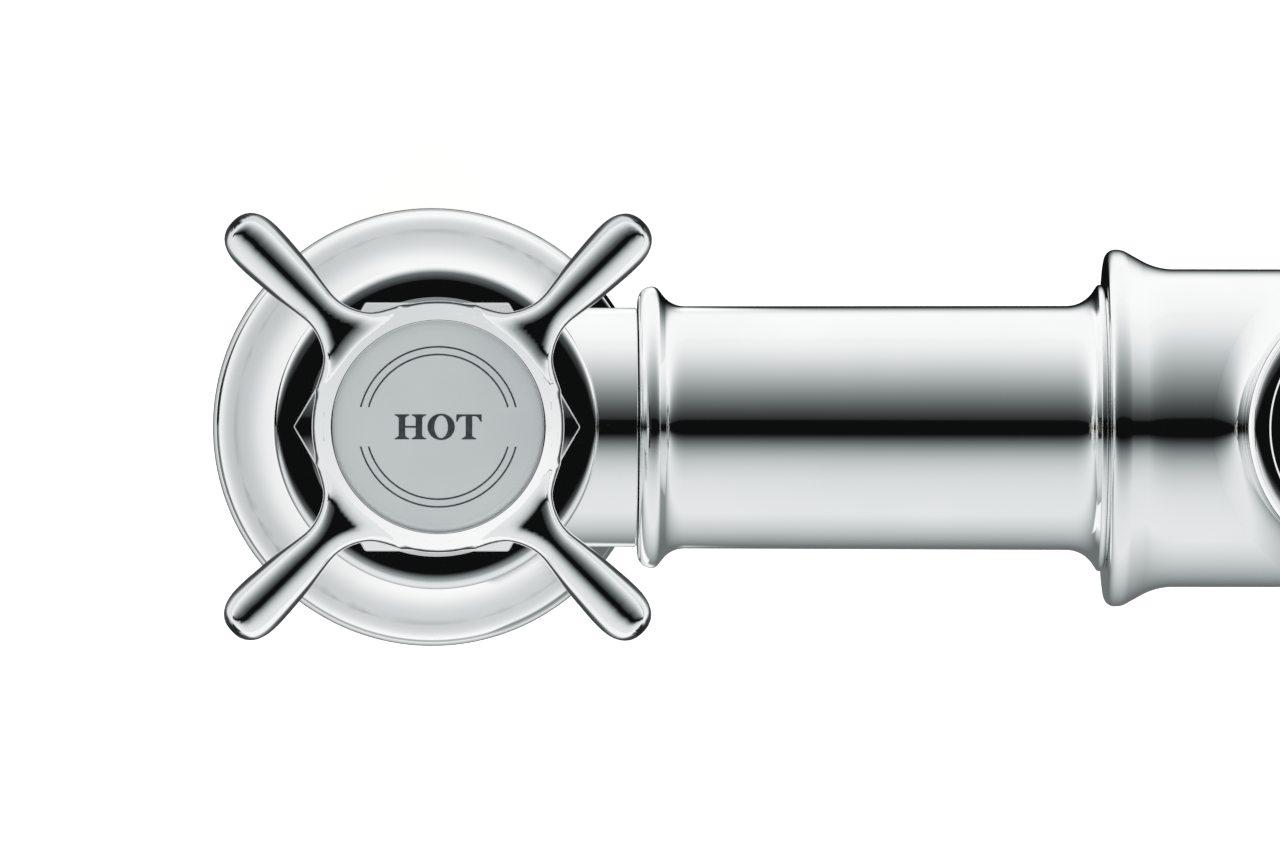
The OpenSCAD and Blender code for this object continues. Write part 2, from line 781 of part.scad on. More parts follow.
// The barrel's outside between its two end faces, as [radius, place along the axis]
function barrel_outline() =
    let (
        lip_turn = s_turn(lip_r - barrel_r, 8 + 3.6),
        lip = trail([barrel_r, 0], 90, [[8, -lip_turn], [3.6, lip_turn], [0.5, 0], [1.2, 90]]),
        lip_z = barrel_reach - last_of(lip)[1],
        last = len(lip) - 1
    )
    concat(
        [[0, -barrel_reach]],
        [for (i = [last:-1:0]) [lip[i][0], -lip_z - lip[i][1]]],
        [for (p = lip) [p[0], lip_z + p[1]]],
        [[0, barrel_reach]]
    );

module centre_body() {
    // Hollow between the neck's skirt in the barrel and its upright wall
    cove_w = 1.3;
    cove_h = 2;
    cove_z = bridge_height + barrel_r + 1.8;
    rim_top = neck_top + 0.4;
    rim = rim_points(neck_r, rim_top);
    color(CHROME)
        difference() {
            union() {
                translate([0, 0, bridge_height])
                    along_bridge()
                        rotate_extrude() polygon(barrel_outline());
                rotate_extrude()
                    polygon(concat(
                        [[0, bridge_height], [neck_r + cove_w, bridge_height]],
                        [for (a = [0:15:90]) [neck_r + cove_w * (1 - sin(a)), cove_z - cove_h * cos(a)]],
                        rim,
                        [[neck_r - rim_w - 0.2, neck_top], [0, neck_top]]
                    ));
            }
            translate([-barrel_reach - cut, 0, bridge_height])
                along_bridge()
                    cylinder(r = bore_r, h = 2 * (barrel_reach + cut));
            for (s = [-1, 1])
                translate([0, 0, bridge_height])
                    rotate([0, s * 90, 0])
                        translate([0, 0, barrel_reach - spigot_len - 0.5])
                            cylinder(r = spigot_r + run_gap, h = spigot_len + 0.5 + cut);
            translate([0, 0, tail_z - 0.5]) cylinder(r = neck_bore_r, h = neck_rise);
            translate([0, 0, bridge_height]) cylinder(r = tail_bore_r, h = neck_rise);
            translate([0, 0, grub_z])
                rotate([-90, 0, 0])
                    cylinder(r = grub_r + run_gap, h = neck_r + cut);
        }
}

// Water's way or outside of the riser, the arch and the drop, as one run of the given radius
module swan_neck(r, from_z, to_z) {
    translate([0, 0, from_z]) cylinder(r = r, h = arch_z - from_z);
    translate([0, -arch_r, arch_z])
        rotate([90, 0, 90])
            rotate_extrude(angle = 180)
                translate([arch_r, 0])
                    circle(r = r);
    translate([0, -spout_reach, to_z]) cylinder(r = r, h = arch_z - to_z);
}

module spout() {
    groove_h = 2 * grub_r + 0.4;
    groove_half_angle = spout_swing / 2 + asin(grub_r / (tail_r - stop_groove_d)) + 0.5;
    color(CHROME)
        difference() {
            union() {
                translate([0, 0, tail_z]) cylinder(r = tail_r, h = foot_z - tail_z + cut);
                rotate_extrude() polygon(spout_foot_outline());
                swan_neck(spout_r, foot_z, outlet_z);
                translate([0, -spout_reach, 0]) rotate_extrude() polygon(outlet_outline());
            }
            swan_neck(spout_bore_r, foot_z + 2, outlet_z - cut);
            translate([0, 0, bridge_height]) cylinder(r = tail_bore_r, h = foot_z + 3 - bridge_height);
            for (i = [0, 1])
                ring(
                    tail_r + cut, tail_r - 1.4 * small_ring,
                    tail_ring_z - small_ring + i * tail_ring_gap, 2 * small_ring
                );
            sector(
                tail_r + cut, tail_r - stop_groove_d,
                grub_z - groove_h / 2, groove_h, 90, groove_half_angle
            );
            translate([0, -spout_reach, outlet_z - cut])
                cylinder(r = aerator_r + run_gap, h = aerator_len + aerator_seal_t + cut);
        }
}

// Beaded foot that turns on the slip washer
function spout_foot_outline() =
    let (bead_h = foot_ring_h / 2)
    concat(
        [[0, foot_z]],
        trail([foot_ring_r - bead_h / 2, foot_z], 0, [[bead_h / 2, 180]]),
        trail([foot_ring_r - bead_h / 2 - 0.1, foot_z + bead_h], 90, [[0.6, 60], [2.4, -60]]),
        [[0, foot_z + 2 * foot_ring_h]]
    );

// Bell-shaped collar round the outlet, from its lower face upwards
function outlet_outline() =
    let (
        edge_r = 0.6,
        wall_h = aerator_len + aerator_seal_t,
        // The hollow above the wall ends a little inside the tube
        hollow_r = (outlet_r - spout_r + 0.2) / (1 - cos(60)) - edge_r,
        collar = trail(
            [outlet_r - edge_r, outlet_z], 0,
            [[edge_r, 90], [wall_h, 0], [edge_r, 60], [hollow_r, -60]]
        )
    )
    concat([[0, outlet_z]], collar, [[0, last_of(collar)[1]]]);

module slip_washer() {
    color(NYLON) ring(foot_ring_r - 0.6, tail_r + loose_gap, neck_top, slip_t - face_gap);
}

module spout_o_rings() {
    section = small_ring * 0.7;
    color(RUBBER)
        for (i = [0, 1])
            sealing_ring(
                tail_r - section + run_gap / 2, section,
                tail_ring_z + i * tail_ring_gap
            );
}

// Its inner end stands in the tail's groove as the stop, and its outer end has a hexagon socket
module spout_grub_screw() {
    inner_end = tail_r - stop_groove_d + loose_gap;
    color(STEEL)
        translate([0, 0, grub_z])
            rotate([-90, 0, 0])
                difference() {
                    translate([0, 0, inner_end]) cylinder(r = grub_r, h = neck_r - 0.4 - inner_end);
                    translate([0, 0, neck_r - 0.4 - 2]) hexagon_bar(grub_r, 2 + cut);
                }
}

module aerator_housing() {
    inner_r = aerator_r - 1.1;
    lip_step = 0.4;
    color(CHROME)
        translate([0, -spout_reach, outlet_z])
            difference() {
                rotate_extrude()
                    polygon([
                        [inner_r - 1, -aerator_lip],
                        [outlet_r - 1 - lip_step, -aerator_lip],
                        [outlet_r - 1, -aerator_lip + lip_step],
                        [outlet_r - 0.7, -face_gap],
                        [aerator_r, -face_gap],
                        [aerator_r, aerator_len],
                        [inner_r, aerator_len],
                        [inner_r, 1 - aerator_lip],
                        [inner_r - 1, 1 - aerator_lip]
                    ]);
                // Two flats for the key
                for (turn = [0, 180])
                    rotate([0, 0, turn])
                        translate([outlet_r - 1.6, -outlet_r, -aerator_lip - cut])
                            cube([outlet_r, 2 * outlet_r, aerator_lip]);
            }
}

// Core with a honeycomb of small channels
module aerator_insert() {
    core_r = aerator_r - 1.15;
    cell = 2.2;
    rows = floor((core_r - 1.2) / cell);
    color(NYLON)
        translate([0, -spout_reach, outlet_z + 1 - aerator_lip])
            difference() {
                cylinder(r = core_r, h = aerator_len + aerator_lip - 1);
                for (i = [-rows:rows])
                    for (j = [-rows:rows]) {
                        x = cell * (i + j / 2);
                        y = cell * j * cos30;
                        if (norm([x, y]) < core_r - 1.3)
                            translate([x, y, -cut])
                                cylinder(r = cell * 0.46, h = aerator_len + aerator_lip + cut, $fn = 6);
                    }
            }
}

module aerator_seal() {
    color(RUBBER)
        translate([0, -spout_reach, 0])
            ring(aerator_r - 0.05, aerator_r - 3, outlet_z + aerator_len, aerator_seal_t);
}

for (side = SIDES) {
    at_pillar(side) base_gasket();
    at_pillar(side) base_flange();
    at_pillar(side) pillar();
    at_pillar(side) shank();
    at_pillar(side) fixing_gasket();
    at_pillar(side) fixing_washer();
    at_pillar(side) backnut();
    at_pillar(side) bonnet();
    at_pillar(side) cartridge_body();
    at_pillar(side) cartridge_o_ring();
    at_pillar(side) seat_seal();
    at_pillar(side) fixed_disc();
    at_pillar(side) moving_disc();
    at_pillar(side) spindle();
    at_pillar(side) spindle_o_ring();
    at_pillar(side) spindle_clip();
    at_pillar(side) handle();
    at_pillar(side) handle_screw();
    at_pillar(side) index_disc();
    at_pillar(side) bridge_tube();
    at_pillar(side) bridge_o_rings();
}
centre_body();
spout();
slip_washer();
spout_o_rings();
spout_grub_screw();
aerator_housing();
aerator_insert();
aerator_seal();
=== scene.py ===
import json
import math

import bpy
import numpy as np
from mathutils import Matrix, Vector


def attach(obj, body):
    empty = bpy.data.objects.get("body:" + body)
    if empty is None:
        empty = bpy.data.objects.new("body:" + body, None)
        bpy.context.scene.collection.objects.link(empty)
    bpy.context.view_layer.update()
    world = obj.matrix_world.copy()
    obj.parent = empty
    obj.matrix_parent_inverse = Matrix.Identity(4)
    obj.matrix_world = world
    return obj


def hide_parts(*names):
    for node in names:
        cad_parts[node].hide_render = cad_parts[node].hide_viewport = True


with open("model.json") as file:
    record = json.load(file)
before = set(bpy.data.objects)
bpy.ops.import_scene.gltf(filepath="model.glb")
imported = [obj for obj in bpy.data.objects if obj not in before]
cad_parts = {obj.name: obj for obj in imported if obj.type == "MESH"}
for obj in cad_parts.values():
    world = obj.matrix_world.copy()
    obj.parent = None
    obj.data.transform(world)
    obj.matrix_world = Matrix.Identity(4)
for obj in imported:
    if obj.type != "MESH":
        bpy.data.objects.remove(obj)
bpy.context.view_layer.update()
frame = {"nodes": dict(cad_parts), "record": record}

MM = 0.001

# Sizes in millimetres, the same as in the solids
HALF_PITCH = 100.0
BRIDGE_Z = 48.0
GASKET_R = 21.4
GASKET_T = 1.8
FLANGE_R = 23.7
FLANGE_LIFT = 0.3
FLANGE_TOP = 15.336
PILLAR_FOOT_R = 12.1
HOUSING_R = 15.0
DISH_Z = 66.4
RIM_R = 17.07
BONNET_SEAT = 66.6
BONNET_AF = 26.0
BONNET_TOP = 73.1
COLLAR_R = 9.6
COLLAR_TOP = 77.1
HUB_Z = 76.1
HUB_TOP = 88.2
INDEX_R = 11.1
STUB_R = 12.65
STUB_REACH = 21.4
TUBE_LEN = 49.4
BARREL_R = 16.83
BARREL_REACH = 29.2
NECK_R = 14.85
NECK_TOP = 73.0
FACE_BORE_R = 9.2
FOOT_Z = 73.8
FOOT_R = 11.6
SPOUT_R = 9.5
ARCH_R = 58.0
SPOUT_REACH = 2 * ARCH_R
ARCH_Z = 148.0
OUTLET_Z = 128.0
OUTLET_R = 10.9
SHANK_R = 10.48
SHANK_BORE_R = 6.5
SHANK_TOP = 13.3
SHANK_END = -70.0


# Outlines and meshes

class Outline:
    """A turned outline in [radius, height], walked with the metal on the left.

    Each row holds a point, its normal and whether a face joins it to the row before.
    """

    def __init__(self, r, z, heading=90.0):
        self.p = np.array([r, z], float)
        self.h = heading
        self.rows = []

    def _row(self, joined):
        a = math.radians(self.h)
        self.rows.append((self.p[0], self.p[1], math.sin(a), -math.cos(a), joined))

    def run(self, length):
        self._row(False)
        a = math.radians(self.h)
        self.p = self.p + length * np.array([math.cos(a), math.sin(a)])
        self._row(True)
        return self

    def to(self, r, z):
        d = np.array([r, z], float) - self.p
        self.h = math.degrees(math.atan2(d[1], d[0]))
        self._row(False)
        self.p = np.array([r, z], float)
        self._row(True)
        return self

    def arc(self, radius, turn, step=3.0):
        side = math.copysign(90.0, turn)
        c = math.radians(self.h + side)
        centre = self.p + radius * np.array([math.cos(c), math.sin(c)])
        n = max(3, math.ceil(abs(turn) / step))
        self._row(False)
        for i in range(n):
            self.h += turn / n
            c = math.radians(self.h + side)
            self.p = centre - radius * np.array([math.cos(c), math.sin(c)])
            self._row(True)
        return self

    def path(self, moves):
        for size, turn in moves:
            self.run(size) if turn == 0 else self.arc(size, turn)
        return self

    def shifted(self, r, z, scale=1.0):
        """The rows moved by [r, z], with the radii scaled."""
        return [(r + row[0] * scale, z + row[1], row[2] / scale, row[3], row[4]) for row in self.rows]


def mesh_from(name, points, normals, quads):
    """Mesh in metres from arrays in millimetres, smooth, with the given normals."""
    mesh = bpy.data.meshes.new(name)
    points = np.asarray(points, np.float32) * MM
    quads = np.asarray(quads, np.int32)
    a, b, c, d = (points[quads[:, i]] for i in range(4))
    area = np.linalg.norm(np.cross(c - a, d - b), axis=1)
    quads = quads[area > 1e-13]
    mesh.vertices.add(len(points))
    mesh.vertices.foreach_set("co", points.ravel())
    mesh.loops.add(quads.size)
    mesh.loops.foreach_set("vertex_index", quads.ravel())
    mesh.polygons.add(len(quads))
    mesh.polygons.foreach_set("loop_start", np.arange(0, quads.size, 4, dtype=np.int32))
    mesh.polygons.foreach_set("use_smooth", np.ones(len(quads), bool))
    mesh.update(calc_edges=True)
    mesh.validate()
    if normals is not None:
        normals = np.asarray(normals, np.float64)
        normals = normals / np.maximum(np.linalg.norm(normals, axis=1, keepdims=True), 1e-9)
        mesh.normals_split_custom_set_from_vertices(normals.tolist())
    return mesh


def join_arrays(parts):
    """One set of points, normals and quads out of several."""
    points, normals, quads, base = [], [], [], 0
    for p, n, q in parts:
        points.append(p)
        normals.append(n)
        quads.append(np.asarray(q) + base)
        base += len(p)
    return np.concatenate(points), np.concatenate(normals), np.concatenate(quads)


def frame_of(axis):
    """Two spokes and the axis of a turned piece."""
    if axis == "x":
        return np.array([[0, 1, 0], [0, 0, 1], [1, 0, 0]], float)
    return np.eye(3)


def grid_quads(rows, cols, joined):
    """Quads between joined rows of a grid that closes round its columns."""
    j = np.arange(cols)
    k = (j + 1) % cols
    out = []
    for i in range(1, rows):
        if joined[i]:
            low, high = (i - 1) * cols, i * cols
            out.append(np.stack([low + j, low + k, high + k, high + j], 1))
    return np.concatenate(out)


def turned(outline, origin=(0, 0, 0), axis="z", cols=192):
    """Arrays of a turned surface, from an Outline or from its rows."""
    rows = outline.rows if isinstance(outline, Outline) else outline
    u, v, w = frame_of(axis)
    a = np.arange(cols) * 2 * math.pi / cols
    spoke = np.cos(a)[:, None] * u + np.sin(a)[:, None] * v
    points, normals, joined = [], [], []
    for r, z, nr, nz, j in rows:
        points.append(np.asarray(origin) + r * spoke + z * w)
        normals.append(nr * spoke + nz * w)
        joined.append(j)
    return np.concatenate(points), np.concatenate(normals), grid_quads(len(rows), cols, joined)


# Distance fields and the nets drawn over them

def polygon_distance(poly, x, y):
    """Signed distance of points to a closed polygon, negative inside."""
    a = poly
    b = np.roll(poly, -1, axis=0)
    best = np.full(x.shape, 1e9)
    inside = np.zeros(x.shape, bool)
    for (ax, ay), (bx, by) in zip(a, b):
        dx, dy = bx - ax, by - ay
        ll = dx * dx + dy * dy
        if ll < 1e-12:
            continue
        t = np.clip(((x - ax) * dx + (y - ay) * dy) / ll, 0, 1)
        best = np.minimum(best, (x - ax - t * dx) ** 2 + (y - ay - t * dy) ** 2)
        if (ay > by) or (by > ay):
            cross = (ay > y) != (by > y)
            inside ^= cross & (x < (bx - ax) * (y - ay) / (by - ay) + ax)
    return np.where(inside, -1, 1) * np.sqrt(best)


def round_union(a, b, k):
    """Union of two fields with a fillet of radius k."""
    ka, kb = np.maximum(k - a, 0), np.maximum(k - b, 0)
    return np.maximum(k, np.minimum(a, b)) - np.sqrt(ka * ka + kb * kb)


def round_cut(a, b, k):
    """Field a less field b, with the edge rounded by k."""
    ka, kb = np.maximum(k + a, 0), np.maximum(k - b, 0)
    return np.minimum(-k, np.maximum(a, -b)) + np.sqrt(ka * ka + kb * kb)


def gradient(f, p, h=0.02):
    """Slope of the field f at the points p, by central differences."""
    g = np.empty_like(p)
    for i in range(3):
        d = np.zeros(3)
        d[i] = h
        g[:, i] = (f(p + d) - f(p - d)) / (2 * h)
    return g


def net(f, low, high, cell, keep=None):
    """Points, normals and quads of the surface where the field is zero.

    Each cell that it crosses gets a point, drawn onto it and evened out by turns. keep(centres)
    picks the quads that stay.
    """
    low, high = np.array(low, float), np.array(high, float)
    n = np.ceil((high - low) / cell).astype(int) + 1
    axes = [low[i] + cell * np.arange(n[i]) for i in range(3)]
    grid = np.stack(np.meshgrid(*axes, indexing="ij"), -1).reshape(-1, 3)
    inside = (f(grid) < 0).reshape(n)
    count = np.zeros(n - 1, int)
    for i in (0, 1):
        for j in (0, 1):
            for k in (0, 1):
                count += inside[i:n[0] - 1 + i, j:n[1] - 1 + j, k:n[2] - 1 + k]
    active = (count > 0) & (count < 8)
    index = np.full(active.shape, -1)
    index[active] = np.arange(active.sum())
    p = low + cell * (np.argwhere(active) + 0.5)
    quads = []
    for a in range(3):
        b, c = (a + 1) % 3, (a + 2) % 3
        m = np.moveaxis(inside, (a, b, c), (0, 1, 2))
        ix = np.moveaxis(index, (a, b, c), (0, 1, 2))
        change = m[:-1, 1:-1, 1:-1] != m[1:, 1:-1, 1:-1]
        e = np.argwhere(change)
        i, j, k = e[:, 0], e[:, 1] + 1, e[:, 2] + 1
        q = np.stack([ix[i, j - 1, k - 1], ix[i, j, k - 1], ix[i, j, k], ix[i, j - 1, k]], 1)
        flip = ~m[i, j, k]
        q[flip] = q[flip][:, ::-1]
        quads.append(q)
    q = np.concatenate(quads)
    pairs = np.concatenate([q[:, [0, 1]], q[:, [1, 2]], q[:, [2, 3]], q[:, [3, 0]]])
    for turn in range(9):
        for _ in range(2):
            v, g = f(p), gradient(f, p)
            step = (v / np.maximum((g * g).sum(1), 1e-6))[:, None] * g
            size = np.linalg.norm(step, axis=1, keepdims=True)
            p = p - step * np.minimum(1, cell / np.maximum(size, 1e-9))
        if turn < 5:
            total, seen = np.zeros_like(p), np.zeros(len(p))
            for s in (0, 1):
                np.add.at(total, pairs[:, s], p[pairs[:, 1 - s]])
                np.add.at(seen, pairs[:, s], 1)
            p = 0.5 * p + 0.5 * total / np.maximum(seen, 1)[:, None]
    if keep is not None:
        q = q[keep(p[q].mean(axis=1))]
        used = np.unique(q)
        to = np.zeros(len(p), int)
        to[used] = np.arange(len(used))
        p, q = p[used], to[q]
    return p, gradient(f, p), q


# Materials

def nodes_of(name):
    """A new material, its node tree and its shader."""
    m = bpy.data.materials.new(name)
    m.use_nodes = True
    t = m.node_tree
    return m, t, t.nodes["Principled BSDF"]


def noise(t, scale, detail, stretch=None):
    n = t.nodes.new("ShaderNodeTexNoise")
    n.inputs["Scale"].default_value = scale
    n.inputs["Detail"].default_value = detail
    place = t.nodes.new("ShaderNodeTexCoord").outputs["Object"]
    if stretch:
        m = t.nodes.new("ShaderNodeMapping")
        m.inputs["Scale"].default_value = stretch
        t.links.new(place, m.inputs["Vector"])
        place = m.outputs["Vector"]
    t.links.new(place, n.inputs["Vector"])
    return n


def roughness_by(t, shader, source, low, high):
    """Roughness between low and high that follows the source."""
    m = t.nodes.new("ShaderNodeMapRange")
    m.inputs["From Min"].default_value = 0.3
    m.inputs["From Max"].default_value = 0.7
    m.inputs["To Min"].default_value = low
    m.inputs["To Max"].default_value = high
    t.links.new(source.outputs["Fac"], m.inputs["Value"])
    t.links.new(m.outputs["Result"], shader.inputs["Roughness"])


def colour_by(t, shader, source, a, b):
    """Colour between a and b that follows the source."""
    r = t.nodes.new("ShaderNodeValToRGB")
    low, high = r.color_ramp.elements
    low.position, low.color = 0.35, (*a, 1)
    high.position, high.color = 0.65, (*b, 1)
    t.links.new(source.outputs["Fac"], r.inputs["Fac"])
    t.links.new(r.outputs["Color"], shader.inputs["Base Color"])


def maths(t, operation, a, b):
    """Output of a math node of two links, or of a link and a number."""
    m = t.nodes.new("ShaderNodeMath")
    m.operation = operation
    t.links.new(a, m.inputs[0])
    if isinstance(b, float):
        m.inputs[1].default_value = b
    else:
        t.links.new(b, m.inputs[1])
    return m.outputs[0]


def bump(t, shader, source, strength, distance):
    b = t.nodes.new("ShaderNodeBump")
    b.inputs["Strength"].default_value = strength
    b.inputs["Distance"].default_value = distance
    t.links.new(source.outputs["Fac"], b.inputs["Height"])
    t.links.new(b.outputs["Normal"], shader.inputs["Normal"])


def surface(name, slow, colours, roughness, fine=None, fine_rough=False, relief=None, metallic=0.0):
    """A material of a slow and a fine noise.

    The colour follows the slow one, the relief the fine one, and the roughness either.
    """
    m, t, s = nodes_of(name)
    slow = noise(t, *slow)
    fine = noise(t, *fine) if fine else slow
    colour_by(t, s, slow, *colours)
    roughness_by(t, s, fine if fine_rough else slow, *roughness)
    s.inputs["Metallic"].default_value = metallic
    if relief:
        bump(t, s, fine, *relief)
    return m


MATERIALS = {
    "chrome": surface("chrome_plate", (90, 2), ((0.835, 0.85, 0.852), (0.865, 0.875, 0.877)),
                      (0.035, 0.06), (900, 4), True, metallic=1.0),
    "brass": surface("raw_brass", (60, 4), ((0.66, 0.47, 0.20), (0.80, 0.62, 0.31)),
                     (0.2, 0.36), (700, 3, (1, 1, 9)), True, (0.12, 0.0001), 1.0),
    "steel": surface("stainless_steel", (80, 2), ((0.50, 0.50, 0.49), (0.62, 0.62, 0.61)),
                     (0.24, 0.4), (500, 3, (1, 14, 1)), True, (0.08, 0.0001), 1.0),
    "rubber": surface("black_rubber", (160, 4), ((0.018, 0.018, 0.019), (0.035, 0.035, 0.036)),
                      (0.55, 0.75), (2600, 2), relief=(0.25, 0.0001)),
    "ceramic": surface("lapped_ceramic", (200, 3), ((0.80, 0.78, 0.72), (0.87, 0.85, 0.80)),
                       (0.2, 0.35)),
    "porcelain": surface("glazed_porcelain", (70, 2), ((0.485, 0.52, 0.525), (0.535, 0.565, 0.57)),
                         (0.14, 0.24), (420, 3), True, (0.05, 0.00005)),
    "nylon": surface("white_nylon", (120, 3), ((0.74, 0.74, 0.71), (0.82, 0.82, 0.80)),
                     (0.38, 0.52), (1500, 2), relief=(0.1, 0.00005)),
}
INK = surface("fired_ink", (1800, 4), ((0.026, 0.034, 0.038), (0.042, 0.052, 0.056)), (0.35, 0.5))

slots = {s["node"]: s["material_slot"] for s in frame["record"]["subparts"]}
for node, obj in frame["nodes"].items():
    obj.data.materials.clear()
    obj.data.materials.append(MATERIALS[slots[node]])


def placed(name, data):
    """A new object of the data, in the scene."""
    obj = bpy.data.objects.new(name, data)
    bpy.context.scene.collection.objects.link(obj)
    return obj


def piece(name, arrays, body, slot, *replaced, material=None):
    """A shown piece from arrays, riding on its body and standing for the CAD nodes named."""
    mesh = arrays if isinstance(arrays, bpy.types.Mesh) else mesh_from(name, *arrays)
    obj = placed(name, mesh)
    mesh.materials.clear()
    mesh.materials.append(material or MATERIALS[slot])
    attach(obj, body)
    if replaced:
        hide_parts(*replaced)
    return obj


# The pieces of one pillar, drawn round the Z axis with the stub on +X

# Radius and turn of the dished rim's outer edge and of its crown, and their height
RIM_EDGE, RIM_CROWN = (1.1, 78), (4.8, 12)
RIM_H = (RIM_EDGE[0] * math.sin(math.radians(RIM_EDGE[1]))
         + RIM_CROWN[0] * (1 - math.cos(math.radians(RIM_CROWN[1]))))


def flange_arrays():
    """Bell-shaped flange from the recess for the gasket, round its edge and up to the pillar."""
    edge = 0.15
    o = Outline(GASKET_R, GASKET_T, -90)
    o.to(GASKET_R, FLANGE_LIFT + edge).to(GASKET_R + edge, FLANGE_LIFT)
    o.to(FLANGE_R - edge, FLANGE_LIFT)
    o.h = 0
    o.arc(edge, 90)
    o.path([(1.15, 0), (1.5, 44.7), (9.2, -22.7), (43.8, 11.5), (0.6, 0), (3.09, 56.5)])
    o.to(PILLAR_FOOT_R + 0.1, o.p[1])
    return turned(o, cols=256)


def pillar_outline():
    """Foot ring on the flange, waist, valve housing, dished rim and the bonnet's seat."""
    o = Outline(PILLAR_FOOT_R, 1.0, 90)
    o.to(PILLAR_FOOT_R, FLANGE_TOP).to(13.0, FLANGE_TOP)
    o.h = 0
    o.arc(1.5, 180).to(12.6, FLANGE_TOP + 3)
    o.h = 120
    o.arc(8, -30)
    o.to(11.5, 24.44)
    o.h = 90
    o.arc(6, -60).arc(1, 60)
    cup = Outline(0, 0, 90).path([(4, -55), (0.8, 55)])
    o.to(HOUSING_R, DISH_Z - RIM_H - 3.93)
    # Cup under the dished rim, widened to the rim's radius
    o.rows += cup.shifted(*o.p, (RIM_R - HOUSING_R) / cup.p[0])
    o.p = np.array([RIM_R, o.p[1] + cup.p[1]])
    o.h = 90
    o.arc(*RIM_EDGE, step=2).arc(*RIM_CROWN, step=1)
    o.to(13.6, DISH_Z).to(12.9, BONNET_SEAT).to(12.0, BONNET_SEAT)
    return o


def stub_outline():
    o = Outline(STUB_R, 6.0, 90)
    o.to(STUB_R, STUB_REACH - 0.32)
    o.h = 90
    return o.arc(0.2, 90).to(STUB_R - 0.5, STUB_REACH - 0.12).to(FACE_BORE_R, STUB_REACH)


# How deep the nets of fillets lie in the turned surfaces, so that only the fillets show
JOINT_SINK = 0.01


def pillar_joint_field(p):
    """Housing and stub with the fillet between them."""
    post = np.hypot(p[:, 0], p[:, 1]) - HOUSING_R
    stub = np.hypot(p[:, 1], p[:, 2] - BRIDGE_Z) - STUB_R
    return round_union(post, stub, 1.6) + JOINT_SINK


def hexagon_radius(a, across, corner):
    """Distance from the axis to a hexagon at the angles a, and the angle of its normal there.

    Its corners are rounded, and one lies on +X.
    """
    side = np.floor(a / 60) * 60 + 30
    off = np.radians(a - side)
    r = across / 2 / np.cos(off)
    top = across / 2 / math.cos(math.radians(30))
    # Corner circle of the given radius, tangent to both sides
    centre = top - corner / math.cos(math.radians(30))
    nearest = np.round(a / 60) * 60
    d = np.radians(a - nearest)
    inside = centre * np.cos(d) + np.sqrt(np.maximum(corner ** 2 - (centre * np.sin(d)) ** 2, 0))
    hit = np.abs(inside * np.sin(d)) < corner * 0.5
    r = np.where(hit, np.minimum(r, inside), r)
    round_normal = nearest + np.degrees(np.arcsin(np.clip(r * np.sin(d) / corner, -1, 1)))
    return r, np.where(hit, round_normal, side)


def bonnet_arrays():
    """Hexagon with a chamfered top, and the round collar on it."""
    # Angles, closer together at the corners
    near = np.linspace(-2.4, 2.4, 25)
    one = np.concatenate([np.linspace(0, 60, 41), near[near >= 0], 60 + near[near < 0]])
    one = np.unique(np.round(one, 4))[:-1]
    a = np.concatenate([one + 60 * i for i in range(6)])
    r, normal = hexagon_radius(a, BONNET_AF, 0.35)
    rad, nrm = np.radians(a), np.radians(normal)
    spoke = np.stack([np.cos(rad), np.sin(rad), np.zeros_like(a)], 1)
    out = np.stack([np.cos(nrm), np.sin(nrm), np.zeros_like(a)], 1)
    up = np.array([0, 0, 1.0])
    rows = []

    def row(radius, z, way, joined=True):
        rows.append((np.full_like(r, radius), np.full_like(r, z), way + np.zeros_like(out), joined))

    slope, top_r, edge = math.radians(30), 11.5, 0.22
    z_edge = BONNET_TOP - (r - top_r) * math.tan(slope)
    row(r - 0.25, BONNET_SEAT, out * 0.7 - up * 0.7, False)
    row(r, BONNET_SEAT + 0.25, out)
    row(r, z_edge - edge, out)
    for i in range(1, 6):
        t = i / 5
        tilt = (math.pi / 2 - slope) * t
        mid = out * (1 - t) + spoke * t
        down, back = edge * (1 - t) ** 2, edge * t ** 2
        row(r - back * math.cos(slope), z_edge - down + back * math.sin(slope),
            mid * math.cos(tilt) + up * math.sin(tilt))
    half = 0.15
    row(top_r + half, BONNET_TOP - half * math.tan(slope),
        spoke * math.sin(slope) + up * math.cos(slope))
    row(top_r - half, BONNET_TOP, up)
    # Hollow fillet, wall and rounded edge of the collar
    hollow, crown = 0.5, 0.8
    row(COLLAR_R + hollow, BONNET_TOP, up)
    for i in range(1, 7):
        c = math.radians(15 * i)
        row(COLLAR_R + hollow - hollow * math.sin(c), BONNET_TOP + hollow - hollow * math.cos(c),
            spoke * math.sin(c) + up * math.cos(c))
    row(COLLAR_R, COLLAR_TOP - crown, spoke)
    for i in range(1, 9):
        c = math.radians(90 * i / 8)
        row(COLLAR_R - crown + crown * math.cos(c), COLLAR_TOP - crown + crown * math.sin(c),
            spoke * math.cos(c) + up * math.sin(c))
    row(5.0, COLLAR_TOP, up)
    points = np.concatenate([spoke * rr[:, None] + up * zz[:, None] for rr, zz, _, _ in rows])
    normals = np.concatenate([n for _, _, n, _ in rows])
    return points, normals, grid_quads(len(rows), len(a), [j for *_, j in rows])


# The cross handle as one smooth field

# The hub's widest place, the radius that rounds it into the cone, and the cone's slope
WIDEST_Z, WIDEST_R, RING_R, CONE = 85.0, 13.12, 2.8, 50.0
SKIRT_R, SKIRT_H = 11.3, 1.2
LIP_R = 11.15


def ring_point(tilt, out=0.0):
    """Point of the hub's rounded edge whose normal is tilted from upright by the given degrees."""
    c = math.radians(tilt)
    return WIDEST_R - RING_R + (RING_R + out) * math.sin(c), WIDEST_Z + (RING_R + out) * math.cos(c)


